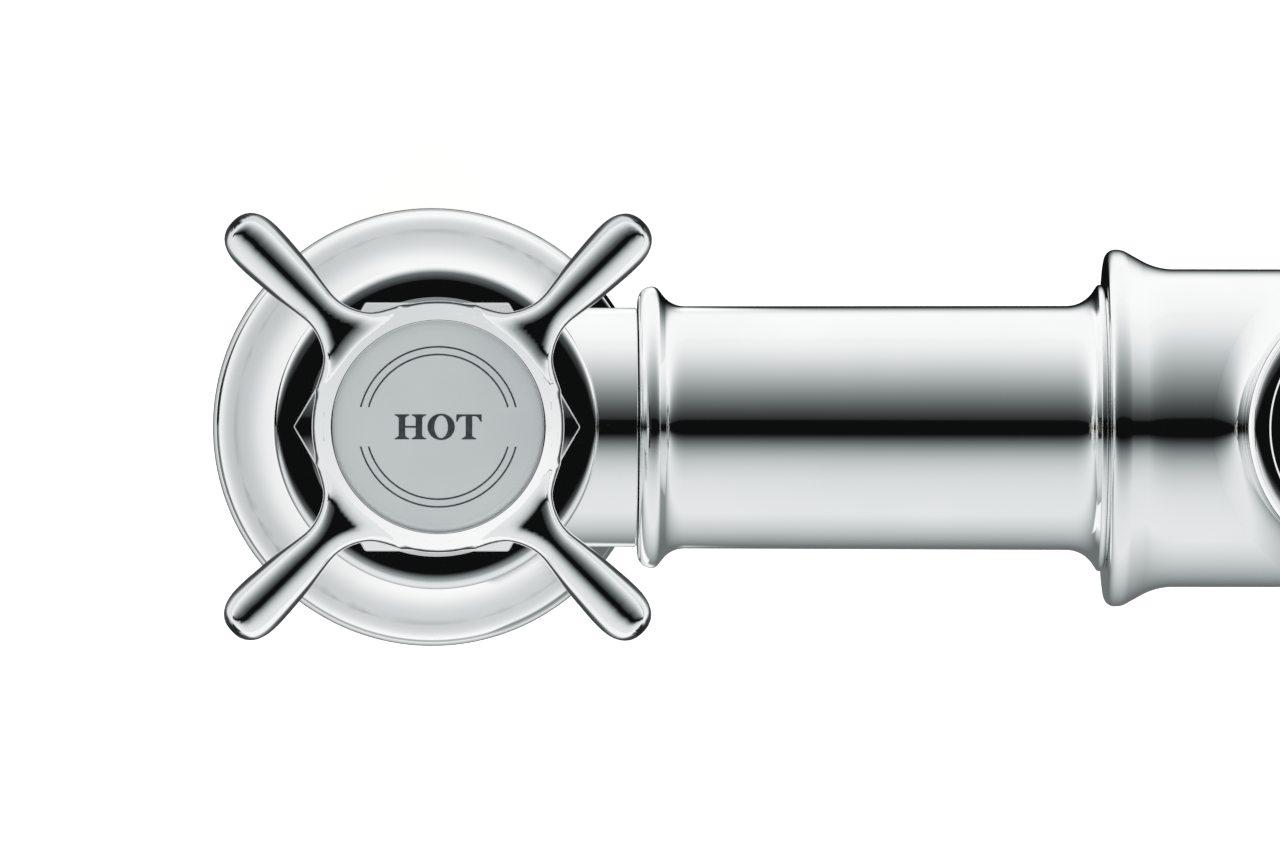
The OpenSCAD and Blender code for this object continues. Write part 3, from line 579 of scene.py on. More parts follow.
def cone_z(r, out=0.0):
    """Height of the hub's cone at the radius r."""
    r0, z0 = ring_point(CONE, out)
    return z0 + (r0 - r) * math.tan(math.radians(CONE))


def hub_polygon():
    pts = [(0, HUB_Z), (10.6, HUB_Z), (11.0, HUB_Z + 0.15), (11.25, HUB_Z + 0.6)]
    for i in range(9):
        t = i / 8
        pts.append((SKIRT_R + (WIDEST_R - SKIRT_R) * math.sin(math.radians(90 * t)) ** 1.3,
                    HUB_Z + SKIRT_H + (WIDEST_Z - HUB_Z - SKIRT_H) * t))
    pts += [ring_point(a) for a in np.arange(86, CONE - 1, -4)]
    pts += [(11.75, cone_z(11.75)), (11.4, cone_z(11.75)), (0, cone_z(11.75))]
    return np.array(pts)


# Where an arm starts, where its rounded tip starts, and the tip's length and power
ARM_FROM, TIP_AT, TIP_LEN, TIP_POWER = 8, 26.4, 3.78, 2.4
# Half of an arm's width at places along it
ARM_AT = np.array([ARM_FROM, 12, 14, 16.7, 18.75, 20.8, 22.4, 23.5, TIP_AT])
ARM_HALF = np.array([1.75, 1.75, 1.78, 1.9, 2.17, 2.46, 2.62, 2.72, 2.88])
# Height over half width, above and below the arm's axis, and the power of its section
TALL_AT = np.array([ARM_FROM, 14, 20, TIP_AT])
TALL = np.array([0.85, 0.9, 1.06, 1.2])
LOW = np.array([0.85, 0.85, 0.8, 0.75])
SECTION = 2.08
ARM_TOP = 86.75
# How far before its end the tip's top starts to fall, how steeply, and how softly
FALL_AT, FALL_SLOPE, FALL_SOFT = 0.98, 0.46, 0.14
# Radius of the web between arm and hub, and where it ends along the arm
WEB_R, WEB_AT = 6.7, 17.8


def along_arm(u):
    return np.clip(u, ARM_FROM, TIP_AT)


def smooth_through(x, xs, ys):
    """Cubic through the given points with flat ends."""
    m = np.gradient(ys, xs)
    m[0] = m[-1] = 0
    i = np.clip(np.searchsorted(xs, x) - 1, 0, len(xs) - 2)
    h = xs[i + 1] - xs[i]
    t = (x - xs[i]) / h
    return ((2 * t ** 3 - 3 * t ** 2 + 1) * ys[i] + (t ** 3 - 2 * t ** 2 + t) * h * m[i]
            + (3 * t ** 2 - 2 * t ** 3) * ys[i + 1] + (t ** 3 - t ** 2) * h * m[i + 1])


def arm_polygon():
    """Plan of half an arm, as [width, place along it]."""
    at = np.linspace(ARM_FROM, TIP_AT, 40)
    half = smooth_through(at, ARM_AT, ARM_HALF)
    pts = [(-6, ARM_FROM)] + list(zip(half, at))
    for a in np.linspace(0, 90, 25)[1:]:
        s, c = math.sin(math.radians(a)), math.cos(math.radians(a))
        pts.append((ARM_HALF[-1] * c ** (2 / TIP_POWER), TIP_AT + TIP_LEN * s ** (2 / TIP_POWER)))
    pts.append((-6, TIP_AT + TIP_LEN))
    return np.array(pts)


def arm_tallness(u, share):
    """Height of an arm's section over its width. The tip narrows in plan sooner than in height."""
    t = np.clip((u - TIP_AT) / TIP_LEN, 0, 0.985)
    fall = FALL_SLOPE * (FALL_AT - (TIP_AT + TIP_LEN - u))
    fall = 0.5 * (fall + np.sqrt(fall * fall + FALL_SOFT ** 2)) - FALL_SOFT ** 2 / 8
    body = smooth_through(along_arm(u), TALL_AT, share)
    return body * np.clip(1 - fall, 0.3, 1) / (1 - t ** TIP_POWER) ** (1 / TIP_POWER)


HUB, ARM = hub_polygon(), arm_polygon()


def handle_field(p):
    """Hub, four arms with their webs, and the hollow under the hub. One arm stands for all four."""
    x, y, z = np.abs(p[:, 0]), np.abs(p[:, 1]), p[:, 2]
    hub = polygon_distance(HUB, np.hypot(x, y), z)
    # Places along the arm and across it
    u, v = (x + y) / math.sqrt(2), np.abs(y - x) / math.sqrt(2)
    half = smooth_through(along_arm(u), ARM_AT, ARM_HALF)
    back = np.clip(WEB_AT - u, 0, WEB_R * 0.905)
    web = WEB_R - np.sqrt(WEB_R ** 2 - back ** 2)
    # Share of the web that is flat on top, less at the hub
    t = np.clip((u - 11.2) / 3.2, 0, 1)
    flat = 0.45 + 0.35 * t * t * (3 - 2 * t)
    side = np.maximum(v - flat * web, 0) * half / (half + (1 - flat) * web)
    axis_z = ARM_TOP - 0.01 * v * v - half * smooth_through(along_arm(u), TALL_AT, TALL)
    rise = z - axis_z
    tall = np.where(rise > 0, arm_tallness(u, TALL), arm_tallness(u, LOW))
    power = 2 + (SECTION - 2) * np.clip((u - 14) / 6, 0, 1)
    section = (side ** power + np.abs(rise / tall) ** power) ** (1 / power)
    arm = polygon_distance(ARM, section, u)
    solid = round_union(hub, arm, 0.9)
    recess = np.maximum(np.hypot(x, y) - 10.1, z - COLLAR_TOP - 0.5)
    return round_cut(solid, recess, 0.3)


def handle_arrays():
    base = net(handle_field, (-24, -24, HUB_Z - 1), (24, 24, HUB_TOP + 1), 0.42)
    # The ring round the porcelain, with its lip, a little above the net
    ring_r, above = 11.9, 0.012
    o = Outline(ring_r, cone_z(ring_r, above))
    o.to(LIP_R, cone_z(LIP_R, above))
    o.arc(0.1, 90 + CONE, step=12)
    o.to(o.p[0], HUB_TOP - 1.2)
    return join_arrays([base, turned(o, cols=256)])


# The porcelain's low crown: its rise, its top and the radius of its sphere
CROWN_H, CROWN_TOP = 0.5, HUB_TOP + 0.2
CROWN_R = (INDEX_R ** 2 + CROWN_H ** 2) / (2 * CROWN_H)


def crown_z(x, y):
    return CROWN_TOP - CROWN_R + np.sqrt(CROWN_R ** 2 - x * x - y * y)


def index_arrays():
    """Porcelain disc with a rolled edge and a low crown."""
    o = Outline(INDEX_R - 0.3, HUB_TOP - 1.9, 0)
    o.to(INDEX_R, HUB_TOP - 1.9).to(INDEX_R, HUB_TOP - 0.62)
    o.h = 90
    o.arc(0.16, 64, step=8).arc(2.4, 22, step=2)
    rows = o.rows
    for i, r in enumerate(np.linspace(o.p[0], 0.001, 30)):
        rows.append((r, crown_z(r, 0), r / CROWN_R, 1.0, i > 0))
    return turned(rows, cols=192)


# Words and lines on the porcelain

def ellipse(cx, cy, rx, ry, start=0.0, end=360.0, n=48):
    a = np.radians(np.linspace(start, end, n, endpoint=abs(end - start) < 360))
    return [(cx + rx * math.cos(t), cy + ry * math.sin(t)) for t in a]


def box_loop(x0, y0, x1, y1):
    return [(x0, y0), (x1, y0), (x1, y1), (x0, y1)]


# Height of a capital, width of a stem, thickness of a serif and of a thin stroke, and the ink's
CAP, STEM, SERIF, THIN, INK_T = 2.6, 0.68, 0.13, 0.2, 0.012


def stem_loop(x, low_left=0.4, low_right=0.4, top_left=0.4, top_right=0.4):
    """Upright stroke with bracketed serifs."""
    a, b, k, h = x, x + STEM, 0.2, 0.24
    right = [(b + low_right, 0), (b + low_right, SERIF)] * (low_right > 0)
    right += [(b + k * (low_right > 0), SERIF + 0.06), (b, SERIF + h), (b, CAP - SERIF - h)]
    right += [(b + k * (top_right > 0), CAP - SERIF - 0.06)]
    right += [(b + top_right, CAP - SERIF), (b + top_right, CAP)] * (top_right > 0)
    left = [(a - top_left, CAP), (a - top_left, CAP - SERIF)] * (top_left > 0)
    left += [(a - k * (top_left > 0), CAP - SERIF - 0.06), (a, CAP - SERIF - h), (a, SERIF + h)]
    left += [(a - k * (low_left > 0), SERIF + 0.06)]
    left += [(a - low_left, SERIF), (a - low_left, 0)] * (low_left > 0)
    return right + ([] if top_right > 0 else [(b, CAP)]) + ([] if top_left > 0 else [(a, CAP)]) + left


def letter(name):
    """Groups of loops of one of the letters H, O, T, C, L and D, and its width."""
    if name == "H":
        return [[stem_loop(0.4)], [stem_loop(2.16)], [box_loop(1.04, 1.2, 2.2, 1.2 + THIN)]], 3.24
    if name == "O":
        hole = ellipse(1.42, CAP / 2, 0.7, CAP / 2 - 0.13)
        return [[ellipse(1.42, CAP / 2, 1.42, CAP / 2 + 0.07), hole]], 2.84
    if name == "T":
        bar = [
            (0.0, CAP - 0.76), (0.12, CAP - 0.76), (0.4, CAP - 0.3), (0.7, CAP - 0.19),
            (1.95, CAP - 0.19), (2.25, CAP - 0.3), (2.53, CAP - 0.76), (2.65, CAP - 0.76),
            (2.63, CAP), (0.02, CAP),
        ]
        return [[bar], [stem_loop(0.985, 0.4, 0.4, 0, 0)]], 2.65
    if name == "C":
        outer = ellipse(1.42, CAP / 2, 1.42, CAP / 2 + 0.07, 46, 314, 40)
        inner = ellipse(1.5, CAP / 2, 0.78, CAP / 2 - 0.12, 304, 56, 34)
        head = [(2.3, CAP - 0.86), (2.4, CAP - 0.86), (2.4, CAP + 0.02), (2.3, CAP + 0.02)]
        return [[outer + [(2.48, 0.72), (2.36, 0.76)] + inner + head]], 2.55
    if name == "L":
        foot = [(0.95, 0), (2.35, 0), (2.47, 0.8), (2.37, 0.8), (2.1, 0.32), (1.75, 0.19),
                (0.95, 0.19)]
        return [[stem_loop(0.4, 0.4, 0.0, 0.4, 0.4)], [foot]], 2.5
    bowl = [(0.4, 0)] + ellipse(1.3, CAP / 2, 1.72, CAP / 2, -90, 90, 30) + [(0.4, CAP)]
    hole = [(1.08, CAP - 0.19)] + ellipse(1.25, CAP / 2, 1.05, CAP / 2 - 0.17, 86, -86, 24)
    hole.append((1.08, 0.19))
    return [[bowl, hole], [box_loop(0, 0, 0.45, SERIF)], [box_loop(0, CAP - SERIF, 0.45, CAP)]], 3.0


def ink_mesh(name, loops_list):
    """Thin raised ink on the crown, from groups of flat loops round the disc's centre."""
    meshes = []
    for loops in loops_list:
        curve = bpy.data.curves.new(name, "CURVE")
        curve.dimensions, curve.fill_mode = "2D", "BOTH"
        curve.extrude = INK_T
        for loop in loops:
            s = curve.splines.new("POLY")
            s.points.add(len(loop) - 1)
            for q, (x, y) in zip(s.points, loop):
                q.co = (x, y, 0, 1)
            s.use_cyclic_u = True
        tmp = placed(name, curve)
        dg = bpy.context.evaluated_depsgraph_get()
        m = bpy.data.meshes.new_from_object(tmp.evaluated_get(dg))
        verts = np.array([v.co for v in m.vertices])
        meshes.append((verts, [tuple(f.vertices) for f in m.polygons]))
        bpy.data.objects.remove(tmp)
        bpy.data.curves.remove(curve)
        bpy.data.meshes.remove(m)
    verts, faces, base = [], [], 0
    for v, f in meshes:
        faces += [tuple(i + base for i in face) for face in f]
        verts.append(v)
        base += len(v)
    v = np.concatenate(verts)
    v[:, 2] += crown_z(v[:, 0], v[:, 1]) + INK_T
    mesh = bpy.data.meshes.new(name)
    mesh.from_pydata((v * MM).tolist(), [], faces)
    return mesh


def arc_loop(radius, half, start, end):
    """Loop round an arc of a line of the given half width."""
    return ellipse(0, 0, radius + half, radius + half, start, end, 80) + ellipse(
        0, 0, radius - half, radius - half, end, start, 80)


def word_loops(word, gap=0.14):
    """Groups of loops of a word, centred on the disc. A group is filled between its loops."""
    letters = [letter(c) for c in word]
    x, groups = -(sum(w for _, w in letters) + gap * (len(word) - 1)) / 2, []
    for shape, width in letters:
        for group in shape:
            groups.append([[(px + x, py - CAP / 2) for px, py in loop] for loop in group])
        x += width + gap
    return groups


def mark_mesh(word):
    """The word, with two arcs above it and two below that end level with each other."""
    groups, half_line, ends_y = word_loops(word), 0.084, 2.05
    for radius in (7.5, 8.3):
        end = math.degrees(math.asin(ends_y / radius))
        groups.append([arc_loop(radius, half_line, end, 180 - end)])
        groups.append([arc_loop(radius, half_line, 180 + end, 360 - end)])
    return ink_mesh("mark_" + word.lower(), groups)


# Tube, centre body and spout

def tube_outline():
    """Bridge tube from its bead at the pillar to its flared end at the centre body."""
    o = Outline(9.0, 0, 0)
    o.to(13.4, 0)
    o.h = 0
    o.path([(1.5, 90), (0.9, 52), (0.8, 0), (2.86, -52)])
    flare = Outline(0, 0, 90).path([(3.4, -57), (0.62, 0), (0.36, 57), (0.12, 0), (0.3, 90)])
    end, flare_r = TUBE_LEN - 0.12, 15.16
    start = (flare_r - max(r[0] for r in flare.rows), end - flare.p[1])
    o.to(*start)
    o.h = 90
    o.rows += flare.shifted(*start)
    o.p = np.array([start[0] + flare.p[0], end])
    o.to(14.0, end).to(14.0, TUBE_LEN)
    return o


def barrel_outline():
    """Rows of the barrel from its face at -X to the one at +X, with the same lip at both."""
    lip = Outline(BARREL_R, 0, 90).path([(6.9, -29), (1.95, 0), (2.0, 29), (0.2, 0), (1.1, 90)])
    up = lip.shifted(0, BARREL_REACH - lip.p[1])
    down = [(r, -z, nr, -nz, True) for r, z, nr, nz, j in reversed(up)]
    for i in range(len(down)):
        down[i] = (*down[i][:4], i > 0 and up[len(up) - i][4])
    end = up[-1]
    rows = [(FACE_BORE_R, -BARREL_REACH, 0, -1, False), (end[0], -BARREL_REACH, 0, -1, True)] + down
    rows.append((up[0][0], up[0][1], 1, 0, True))
    rows += up
    rows += [(end[0], BARREL_REACH, 0, 1, False), (FACE_BORE_R, BARREL_REACH, 0, 1, True)]
    return rows


def neck_outline():
    o = Outline(NECK_R, 60.0, 90)
    o.to(NECK_R, NECK_TOP + 0.4 - RIM_H)
    o.h = 90
    o.arc(*RIM_EDGE, step=2).arc(*RIM_CROWN, step=1)
    return o.to(o.p[0] - 0.2, NECK_TOP).to(9.3, NECK_TOP)


def neck_joint_field(p):
    """Barrel and neck with the fillet between them."""
    barrel = np.hypot(p[:, 1], p[:, 2] - BRIDGE_Z) - BARREL_R
    neck = np.maximum(np.hypot(p[:, 0], p[:, 1]) - NECK_R, BRIDGE_Z - p[:, 2])
    return round_union(barrel, neck, 3.7) + JOINT_SINK


def spout_arrays():
    """The tube of the spout: riser, arch and drop."""
    cols = 128
    a = np.arange(cols) * 2 * math.pi / cols
    rows = [(np.array([0, 0, FOOT_Z]), np.array([0, 0, 1.0]))]
    for t in np.linspace(0, 180, 91):
        c, s = math.cos(math.radians(t)), math.sin(math.radians(t))
        rows.append((np.array([0, -ARCH_R + ARCH_R * c, ARCH_Z + ARCH_R * s]), np.array([0, -s, c])))
    rows.append((np.array([0, -SPOUT_REACH, OUTLET_Z + 9]), np.array([0, 0, -1.0])))
    points, normals = [], []
    across = np.array([1.0, 0, 0])
    for centre, way in rows:
        spoke = np.cos(a)[:, None] * across + np.sin(a)[:, None] * np.cross(way, across)
        points.append(centre + SPOUT_R * spoke)
        normals.append(spoke)
    quads = grid_quads(len(rows), cols, [True] * len(rows))
    return np.concatenate(points), np.concatenate(normals), quads


def foot_arrays():
    """The collar that the spout turns on."""
    o = Outline(SPOUT_R - 0.1, FOOT_Z, 0)
    o.to(FOOT_R - 0.6, FOOT_Z)
    o.h = 0
    o.path([(0.6, 150)]).to(FOOT_R - 0.42, FOOT_Z + 1.25)
    o.h = 30
    o.arc(0.3, 60).arc(0.5, 62).arc(2.4, -62)
    o.to(SPOUT_R - 0.1, o.p[1] + 1.5)
    return turned(o)


def outlet_arrays():
    """The turned end of the spout over the aerator."""
    o = Outline(SPOUT_R - 0.1, OUTLET_Z, 0)
    o.to(OUTLET_R - 0.6, OUTLET_Z)
    o.h = 0
    o.path([(0.6, 90), (2.2, 0)])
    # Fine turned groove, then the plain wall and the shoulder
    o.path([(0.12, 60), (0.3, -120), (0.12, 60), (4.2, 0), (0.6, 60), (2.6, -60)])
    o.to(SPOUT_R - 0.1, o.p[1] + 0.5)
    return turned(o, (0, -SPOUT_REACH, 0))


def aerator_arrays():
    """Ring under the outlet with a fine groove and a rounded mouth."""
    r, mouth_r = OUTLET_R - 1.0, 7.2
    o = Outline(mouth_r, OUTLET_Z - 2.5, -90)
    o.to(mouth_r, OUTLET_Z - 3.35)
    o.h = -90
    o.arc(0.15, 90).to(r - 0.5, OUTLET_Z - 3.5)
    o.h = 0
    o.arc(0.5, 90).path([(0.9, 0), (0.1, 60), (0.2, -120), (0.1, 60)])
    o.to(OUTLET_R - 0.75, OUTLET_Z - 0.02).to(9.0, OUTLET_Z - 0.02)
    return turned(o, (0, -SPOUT_REACH, 0), cols=160)


def shank_arrays():
    """Threaded tail: a rounded thread that fades out at its ends and leaves the groove free."""
    cols, pitch, depth = 72, 1.814, 1.0
    thread_top, groove_z = -1.5, -47.0
    z = np.arange(SHANK_END, SHANK_TOP, pitch / 10)
    a = np.arange(cols) * 2 * math.pi / cols
    zz, aa = np.meshgrid(z, a, indexing="ij")
    turn = (zz / pitch - aa / (2 * math.pi)) % 1.0
    ridge = np.clip(1.35 * np.abs(turn * 2 - 1) - 0.18, 0, 1)
    fade = np.clip((zz + 69.6) / 1.6, 0, 1) * np.clip((thread_top - zz) / 1.5, 0, 1)
    groove = np.clip((np.abs(zz - groove_z) - 1.0) / 0.8, 0, 1)
    core = SHANK_R - depth
    r = core + depth * ridge * np.minimum(fade, groove)
    r = np.where(zz > thread_top, SHANK_R, r)
    spoke = np.stack([np.cos(aa), np.sin(aa), np.zeros_like(aa)], -1)
    points = spoke * r[..., None]
    points[..., 2] = zz
    rows = len(z)
    quads = grid_quads(rows, cols, [True] * rows)
    inner = Outline(SHANK_R, SHANK_TOP, 180)
    inner.to(SHANK_BORE_R, SHANK_TOP).to(SHANK_BORE_R, SHANK_END).to(core * 0.96, SHANK_END)
    du = np.roll(points, -1, 1) - np.roll(points, 1, 1)
    dv = np.gradient(points, axis=0)
    normals = np.cross(du, dv)
    body = points.reshape(-1, 3), normals.reshape(-1, 3), quads
    return join_arrays([body, turned(inner, cols=96)])


# The pieces in place

def moved(arrays, dx, flip=False):
    """Arrays shifted along X, or mirrored across X = 0 first."""
    p, n, q = (np.array(v) for v in arrays)
    if flip:
        p[:, 0] *= -1
        n[:, 0] *= -1
        q = q[:, ::-1]
    p[:, 0] += dx
    return p, n, q


flange = flange_arrays()
post = turned(pillar_outline(), cols=224)
stub = turned(stub_outline(), (0, 0, BRIDGE_Z), "x")
joint = net(pillar_joint_field, (2, -17, 31), (21, 17, 64), 0.55,
            keep=lambda c: (c[:, 0] > 4) & (c[:, 0] < 19.5) & (c[:, 2] > 33.5) & (c[:, 2] < 61.6))
pillar = join_arrays([post, stub, joint])
bonnet = bonnet_arrays()
handle = handle_arrays()
disc = index_arrays()
tube = turned(tube_outline(), (STUB_REACH, 0, BRIDGE_Z), "x", cols=224)
shank = shank_arrays()

for side, sx in (("hot", -1), ("cold", 1)):
    at, flip, valve = sx * HALF_PITCH, sx > 0, side + "_valve"
    for name, arrays, node in (
        ("_flange_shown", flange, "_base_flange"), ("_pillar_shown", pillar, "_pillar"),
        ("_bonnet_shown", bonnet, "_bonnet"), ("_tube_shown", tube, "_bridge_tube"),
    ):
        piece(side + name, moved(arrays, at, flip), "mixer_body", "chrome", side + node)
    piece(side + "_shank_shown", moved(shank, at), "mixer_body", "brass", side + "_shank")
    cross = piece(side + "_handle_shown", moved(handle, at, flip), valve, "chrome", side + "_handle")
    # The photo's chrome doesn't show the handles in its reflections
    cross.visible_glossy = False
    piece(side + "_disc_shown", moved(disc, at, flip), valve, "porcelain", side + "_index_disc")
    mark = mark_mesh(side.upper())
    mark.transform(Matrix.Translation((at * MM, 0, 0)))
    piece(side + "_mark", mark, valve, "porcelain", material=INK)

barrel = turned(barrel_outline(), (0, 0, BRIDGE_Z), "x", cols=256)
neck_joint = net(neck_joint_field, (-21, -18.5, 49), (21, 18.5, 73), 0.55,
                 keep=lambda c: (np.abs(c[:, 0]) < 19.5) & (c[:, 2] > 51) & (c[:, 2] < 68.8))
piece("centre_body_shown", join_arrays([barrel, neck_joint]), "mixer_body", "chrome", "centre_body")
neck = piece("centre_neck_shown", turned(neck_outline(), cols=224), "mixer_body", "chrome")
spout = piece("spout_shown", join_arrays([spout_arrays(), foot_arrays(), outlet_arrays()]),
              "swivel_spout", "chrome", "spout")
aerator = piece("aerator_shown", aerator_arrays(), "swivel_spout", "chrome", "aerator_housing")
# Nor does it show the spout, the neck or what they hold
held = [obj for node, obj in frame["nodes"].items()
        if node.startswith(("aerator_", "spout_", "slip_"))]
for obj in [spout, aerator, neck] + held:
    obj.visible_glossy = False


# Stage: white floor, and a long softbox vault with a black slit along its top. The vault and the
# cards are seen in reflections only, and their tones are sRGB levels from 0 to 255.
# The cards hold a painted reflection of the floor, with painted shade by the pillars, tubes and arms.

def linear(v):
    """Linear value of an sRGB level."""
    v = np.asarray(v, float) / 255
    return np.where(v <= 0.04045, v / 12.92, ((v + 0.055) / 1.055) ** 2.4)


def ease(v, low, high):
    """Smooth step from 0 at low to 1 at high."""
    t = np.clip((v - low) / (high - low), 0, 1)
    return t * t * (3 - 2 * t)


def blend(a, b, share):
    return a + (b - a) * share


# Tones of the black slit, of the vault's two sides and the low card's two sides far from the slit,
# and of the painted shade on the card close to the tubes in front
SLIT, VAULT_BACK, VAULT_FRONT, CARD_BACK, CARD_FRONT, CARD_SHADE_NEAR = 14, 240, 229, 249, 227, 108


def vault_back(a):
    """Tone by the angle from the top in degrees: past the slit's edge it rises to the horizon."""
    rise = blend(VAULT_BACK, SLIT, np.clip(1 - a / 90, 0, 1) ** 1.7)
    return blend(SLIT, rise, ease(a, 5.8, 8.4))


def vault_front(a):
    """The same to the front, where it rises sooner and then levels off."""
    return blend(VAULT_FRONT, SLIT, np.exp(-np.maximum(a - 6.2, 0) / 14.5))


def card_back(y):
    """Tone by the distance from the tubes' line in millimetres: painted shade, bright, and less so
    far off.
    """
    far = CARD_BACK - 11.4 * y / (y + 800)
    return blend(far, SLIT, np.exp(-(np.maximum(y - 25, 0) / 14.4) ** 1.6))


def card_front(y):
    """The same to the front, where the painted shade rises more slowly."""
    return blend(CARD_FRONT, CARD_SHADE_NEAR, 1 / (1 + (np.maximum(y - 34, 0) / 38) ** 1.25))


def near_flange(r):
    """Low card's tone by the distance from a pillar's axis: a painted shadow edge, and a soft painted
    dip past it.
    """
    return blend(SLIT, 250 - 45 * np.exp(-((r - 27) / 9) ** 2), ease(r, 23, 27))


def under_arms(r):
    """Tone under the arms by the same distance: painted shade, and bright past their tips."""
    return 68 - 30 * ease(r, 34, 50) + 187 * ease(r, 76, 96)


# Share of the light that the chrome gives back
PLATE = 0.86
# The vault's radius, half length and axis, and the real floor, in metres
VAULT_R, VAULT_HALF, VAULT_Z = 2.6, 14.0, 0.06
FLOOR_Z = -0.072
# Heights of the cards, in millimetres
LOW_CARD_Z, HIGH_CARD_Z, ARMS_CARD_Z = 0.0, 67.8, 68.0
PILLARS = (-HALF_PITCH, HALF_PITCH)


def glow_material(name, from_above_only):
    """Light of the mesh's own tones. From below it may be clear."""
    m = bpy.data.materials.new(name)
    m.use_nodes = True
    t = m.node_tree
    t.nodes.clear()
    tone = t.nodes.new("ShaderNodeAttribute")
    tone.attribute_name = "tone"
    e = t.nodes.new("ShaderNodeEmission")
    out = t.nodes.new("ShaderNodeOutputMaterial")
    t.links.new(tone.outputs["Color"], e.inputs["Color"])
    if from_above_only:
        side = t.nodes.new("ShaderNodeNewGeometry")
        clear = t.nodes.new("ShaderNodeBsdfTransparent")
        mix = t.nodes.new("ShaderNodeMixShader")
        t.links.new(side.outputs["Backfacing"], mix.inputs[0])
        t.links.new(e.outputs["Emission"], mix.inputs[1])
        t.links.new(clear.outputs["BSDF"], mix.inputs[2])
        t.links.new(mix.outputs["Shader"], out.inputs["Surface"])
    else:
        t.links.new(e.outputs["Emission"], out.inputs["Surface"])
    return m


SOFTBOX = glow_material("softbox", False)
PAINTED_REFLECTION_CARD = glow_material("floor_card", True)


def glow_sheet(name, points, tones, material=SOFTBOX, holes=()):
    """A stage sheet that shows only in reflections, from a grid of places and their sRGB levels.

    holes are round, as x, y and radius.
    """
    points = np.asarray(points, float)
    n, m = points.shape[:2]
    i, j = np.meshgrid(np.arange(n - 1), np.arange(m - 1), indexing="ij")
    base = (i * m + j).ravel()
    quads = np.stack([base, base + 1, base + m + 1, base + m], 1)
    flat = points.reshape(-1, 3)
    centres = flat[quads].mean(axis=1)
    for x, y, r in holes:
        outside = np.hypot(centres[:, 0] - x, centres[:, 1] - y) > r
        quads, centres = quads[outside], centres[outside]
    mesh = bpy.data.meshes.new(name)
    mesh.from_pydata(flat.tolist(), [], quads.tolist())
    level = linear(np.broadcast_to(tones, (n, m)).ravel()) / PLATE
    mid = np.clip(4 * level * (1 - level), 0, 1)
    # Middle tones are a little cool
    red, green, blue = (level + shift * mid for shift in (-0.02, 0.004, 0.006))
    colour = np.stack([red, green, blue, np.ones_like(level)], 1)
    layer = mesh.attributes.new("tone", "FLOAT_COLOR", "POINT")
    layer.data.foreach_set("color", np.maximum(colour, 0).astype(np.float32).ravel())
    mesh.materials.append(material)
    obj = placed(name, mesh)
    obj.visible_camera = obj.visible_diffuse = obj.visible_shadow = False
    obj.visible_transmission = obj.visible_volume_scatter = False


def vault():
    # Degrees from the top, in finer steps at the slit
    angles = np.concatenate(
        [-np.arange(92, 12, -1.0), np.arange(-12, 12.01, 0.2), np.arange(13, 92.5, 1.0)])
    rows, tones = [], []
    for a in angles:
        s, c = math.sin(math.radians(a)), math.cos(math.radians(a))
        rows.append([(x, VAULT_R * s, VAULT_Z + VAULT_R * c) for x in (-VAULT_HALF, VAULT_HALF)])
        tones.append(vault_back(a) if a > 0 else vault_front(-a))
    glow_sheet("softbox_vault", rows, np.array(tones)[:, None])


def card_grid(fine, half, end, coarse):
    """Places in fine steps up to half on both sides, and in coarse steps from there to the end."""
    near = np.arange(-half, half + 1, fine)
    far = np.arange(half, end, coarse)[1:]
    return np.concatenate([-far[::-1], near, far])


def low_card():
    """Painted floor reflection for the flanges and tubes: bright round the pillars, painted shade
    graded by the tubes.
    """
    x, y = np.meshgrid(card_grid(2, 180, 14000, 900), card_grid(2, 180, 3000, 60), indexing="xy")
    graded = np.where(y > 0, card_back(np.abs(y)), card_front(np.abs(y)))
    reach = np.hypot(np.abs(x) - HALF_PITCH, y)
    bearing = np.degrees(np.arctan2(np.abs(y), HALF_PITCH - np.abs(x)))
    # In front of the tubes a flange's own tones reach less far
    beside = (y < 0) & (np.abs(x) < 86)
    start, end = np.where(beside, 38, 50), np.where(beside, 50, 66)
    near = ease(bearing, 40, 52) * (1 - ease(reach, start, end))
    # They are darker on the outer side
    outer = ease(np.abs(x) - HALF_PITCH, 6, 26) * (1 - ease(reach, 44, 60))
    tone = blend(graded, near_flange(reach) - 11 * outer, near)
    # Painted shadow: a dark line right under the tubes
    tone = blend(SLIT, tone, np.maximum(ease(np.abs(y), 5, 9), ease(np.abs(x), 84, 90)))
    points = np.stack([x, y, np.full(x.shape, LOW_CARD_Z)], -1)
    holes = [(at * MM, 0, 20 * MM) for at in PILLARS]
    glow_sheet("low_floor_card", points * MM, tone, PAINTED_REFLECTION_CARD, holes)


def sheet_tone(x, y):
    """The high card's painted reflection: darker to the back, brighter to the front and the middle.
    """
    reach = np.maximum(np.hypot(np.abs(x) - HALF_PITCH, y), 1)
    return np.clip(231 - 15 * y / reach - 6 * (np.abs(x) - HALF_PITCH) / reach, 0, 246)


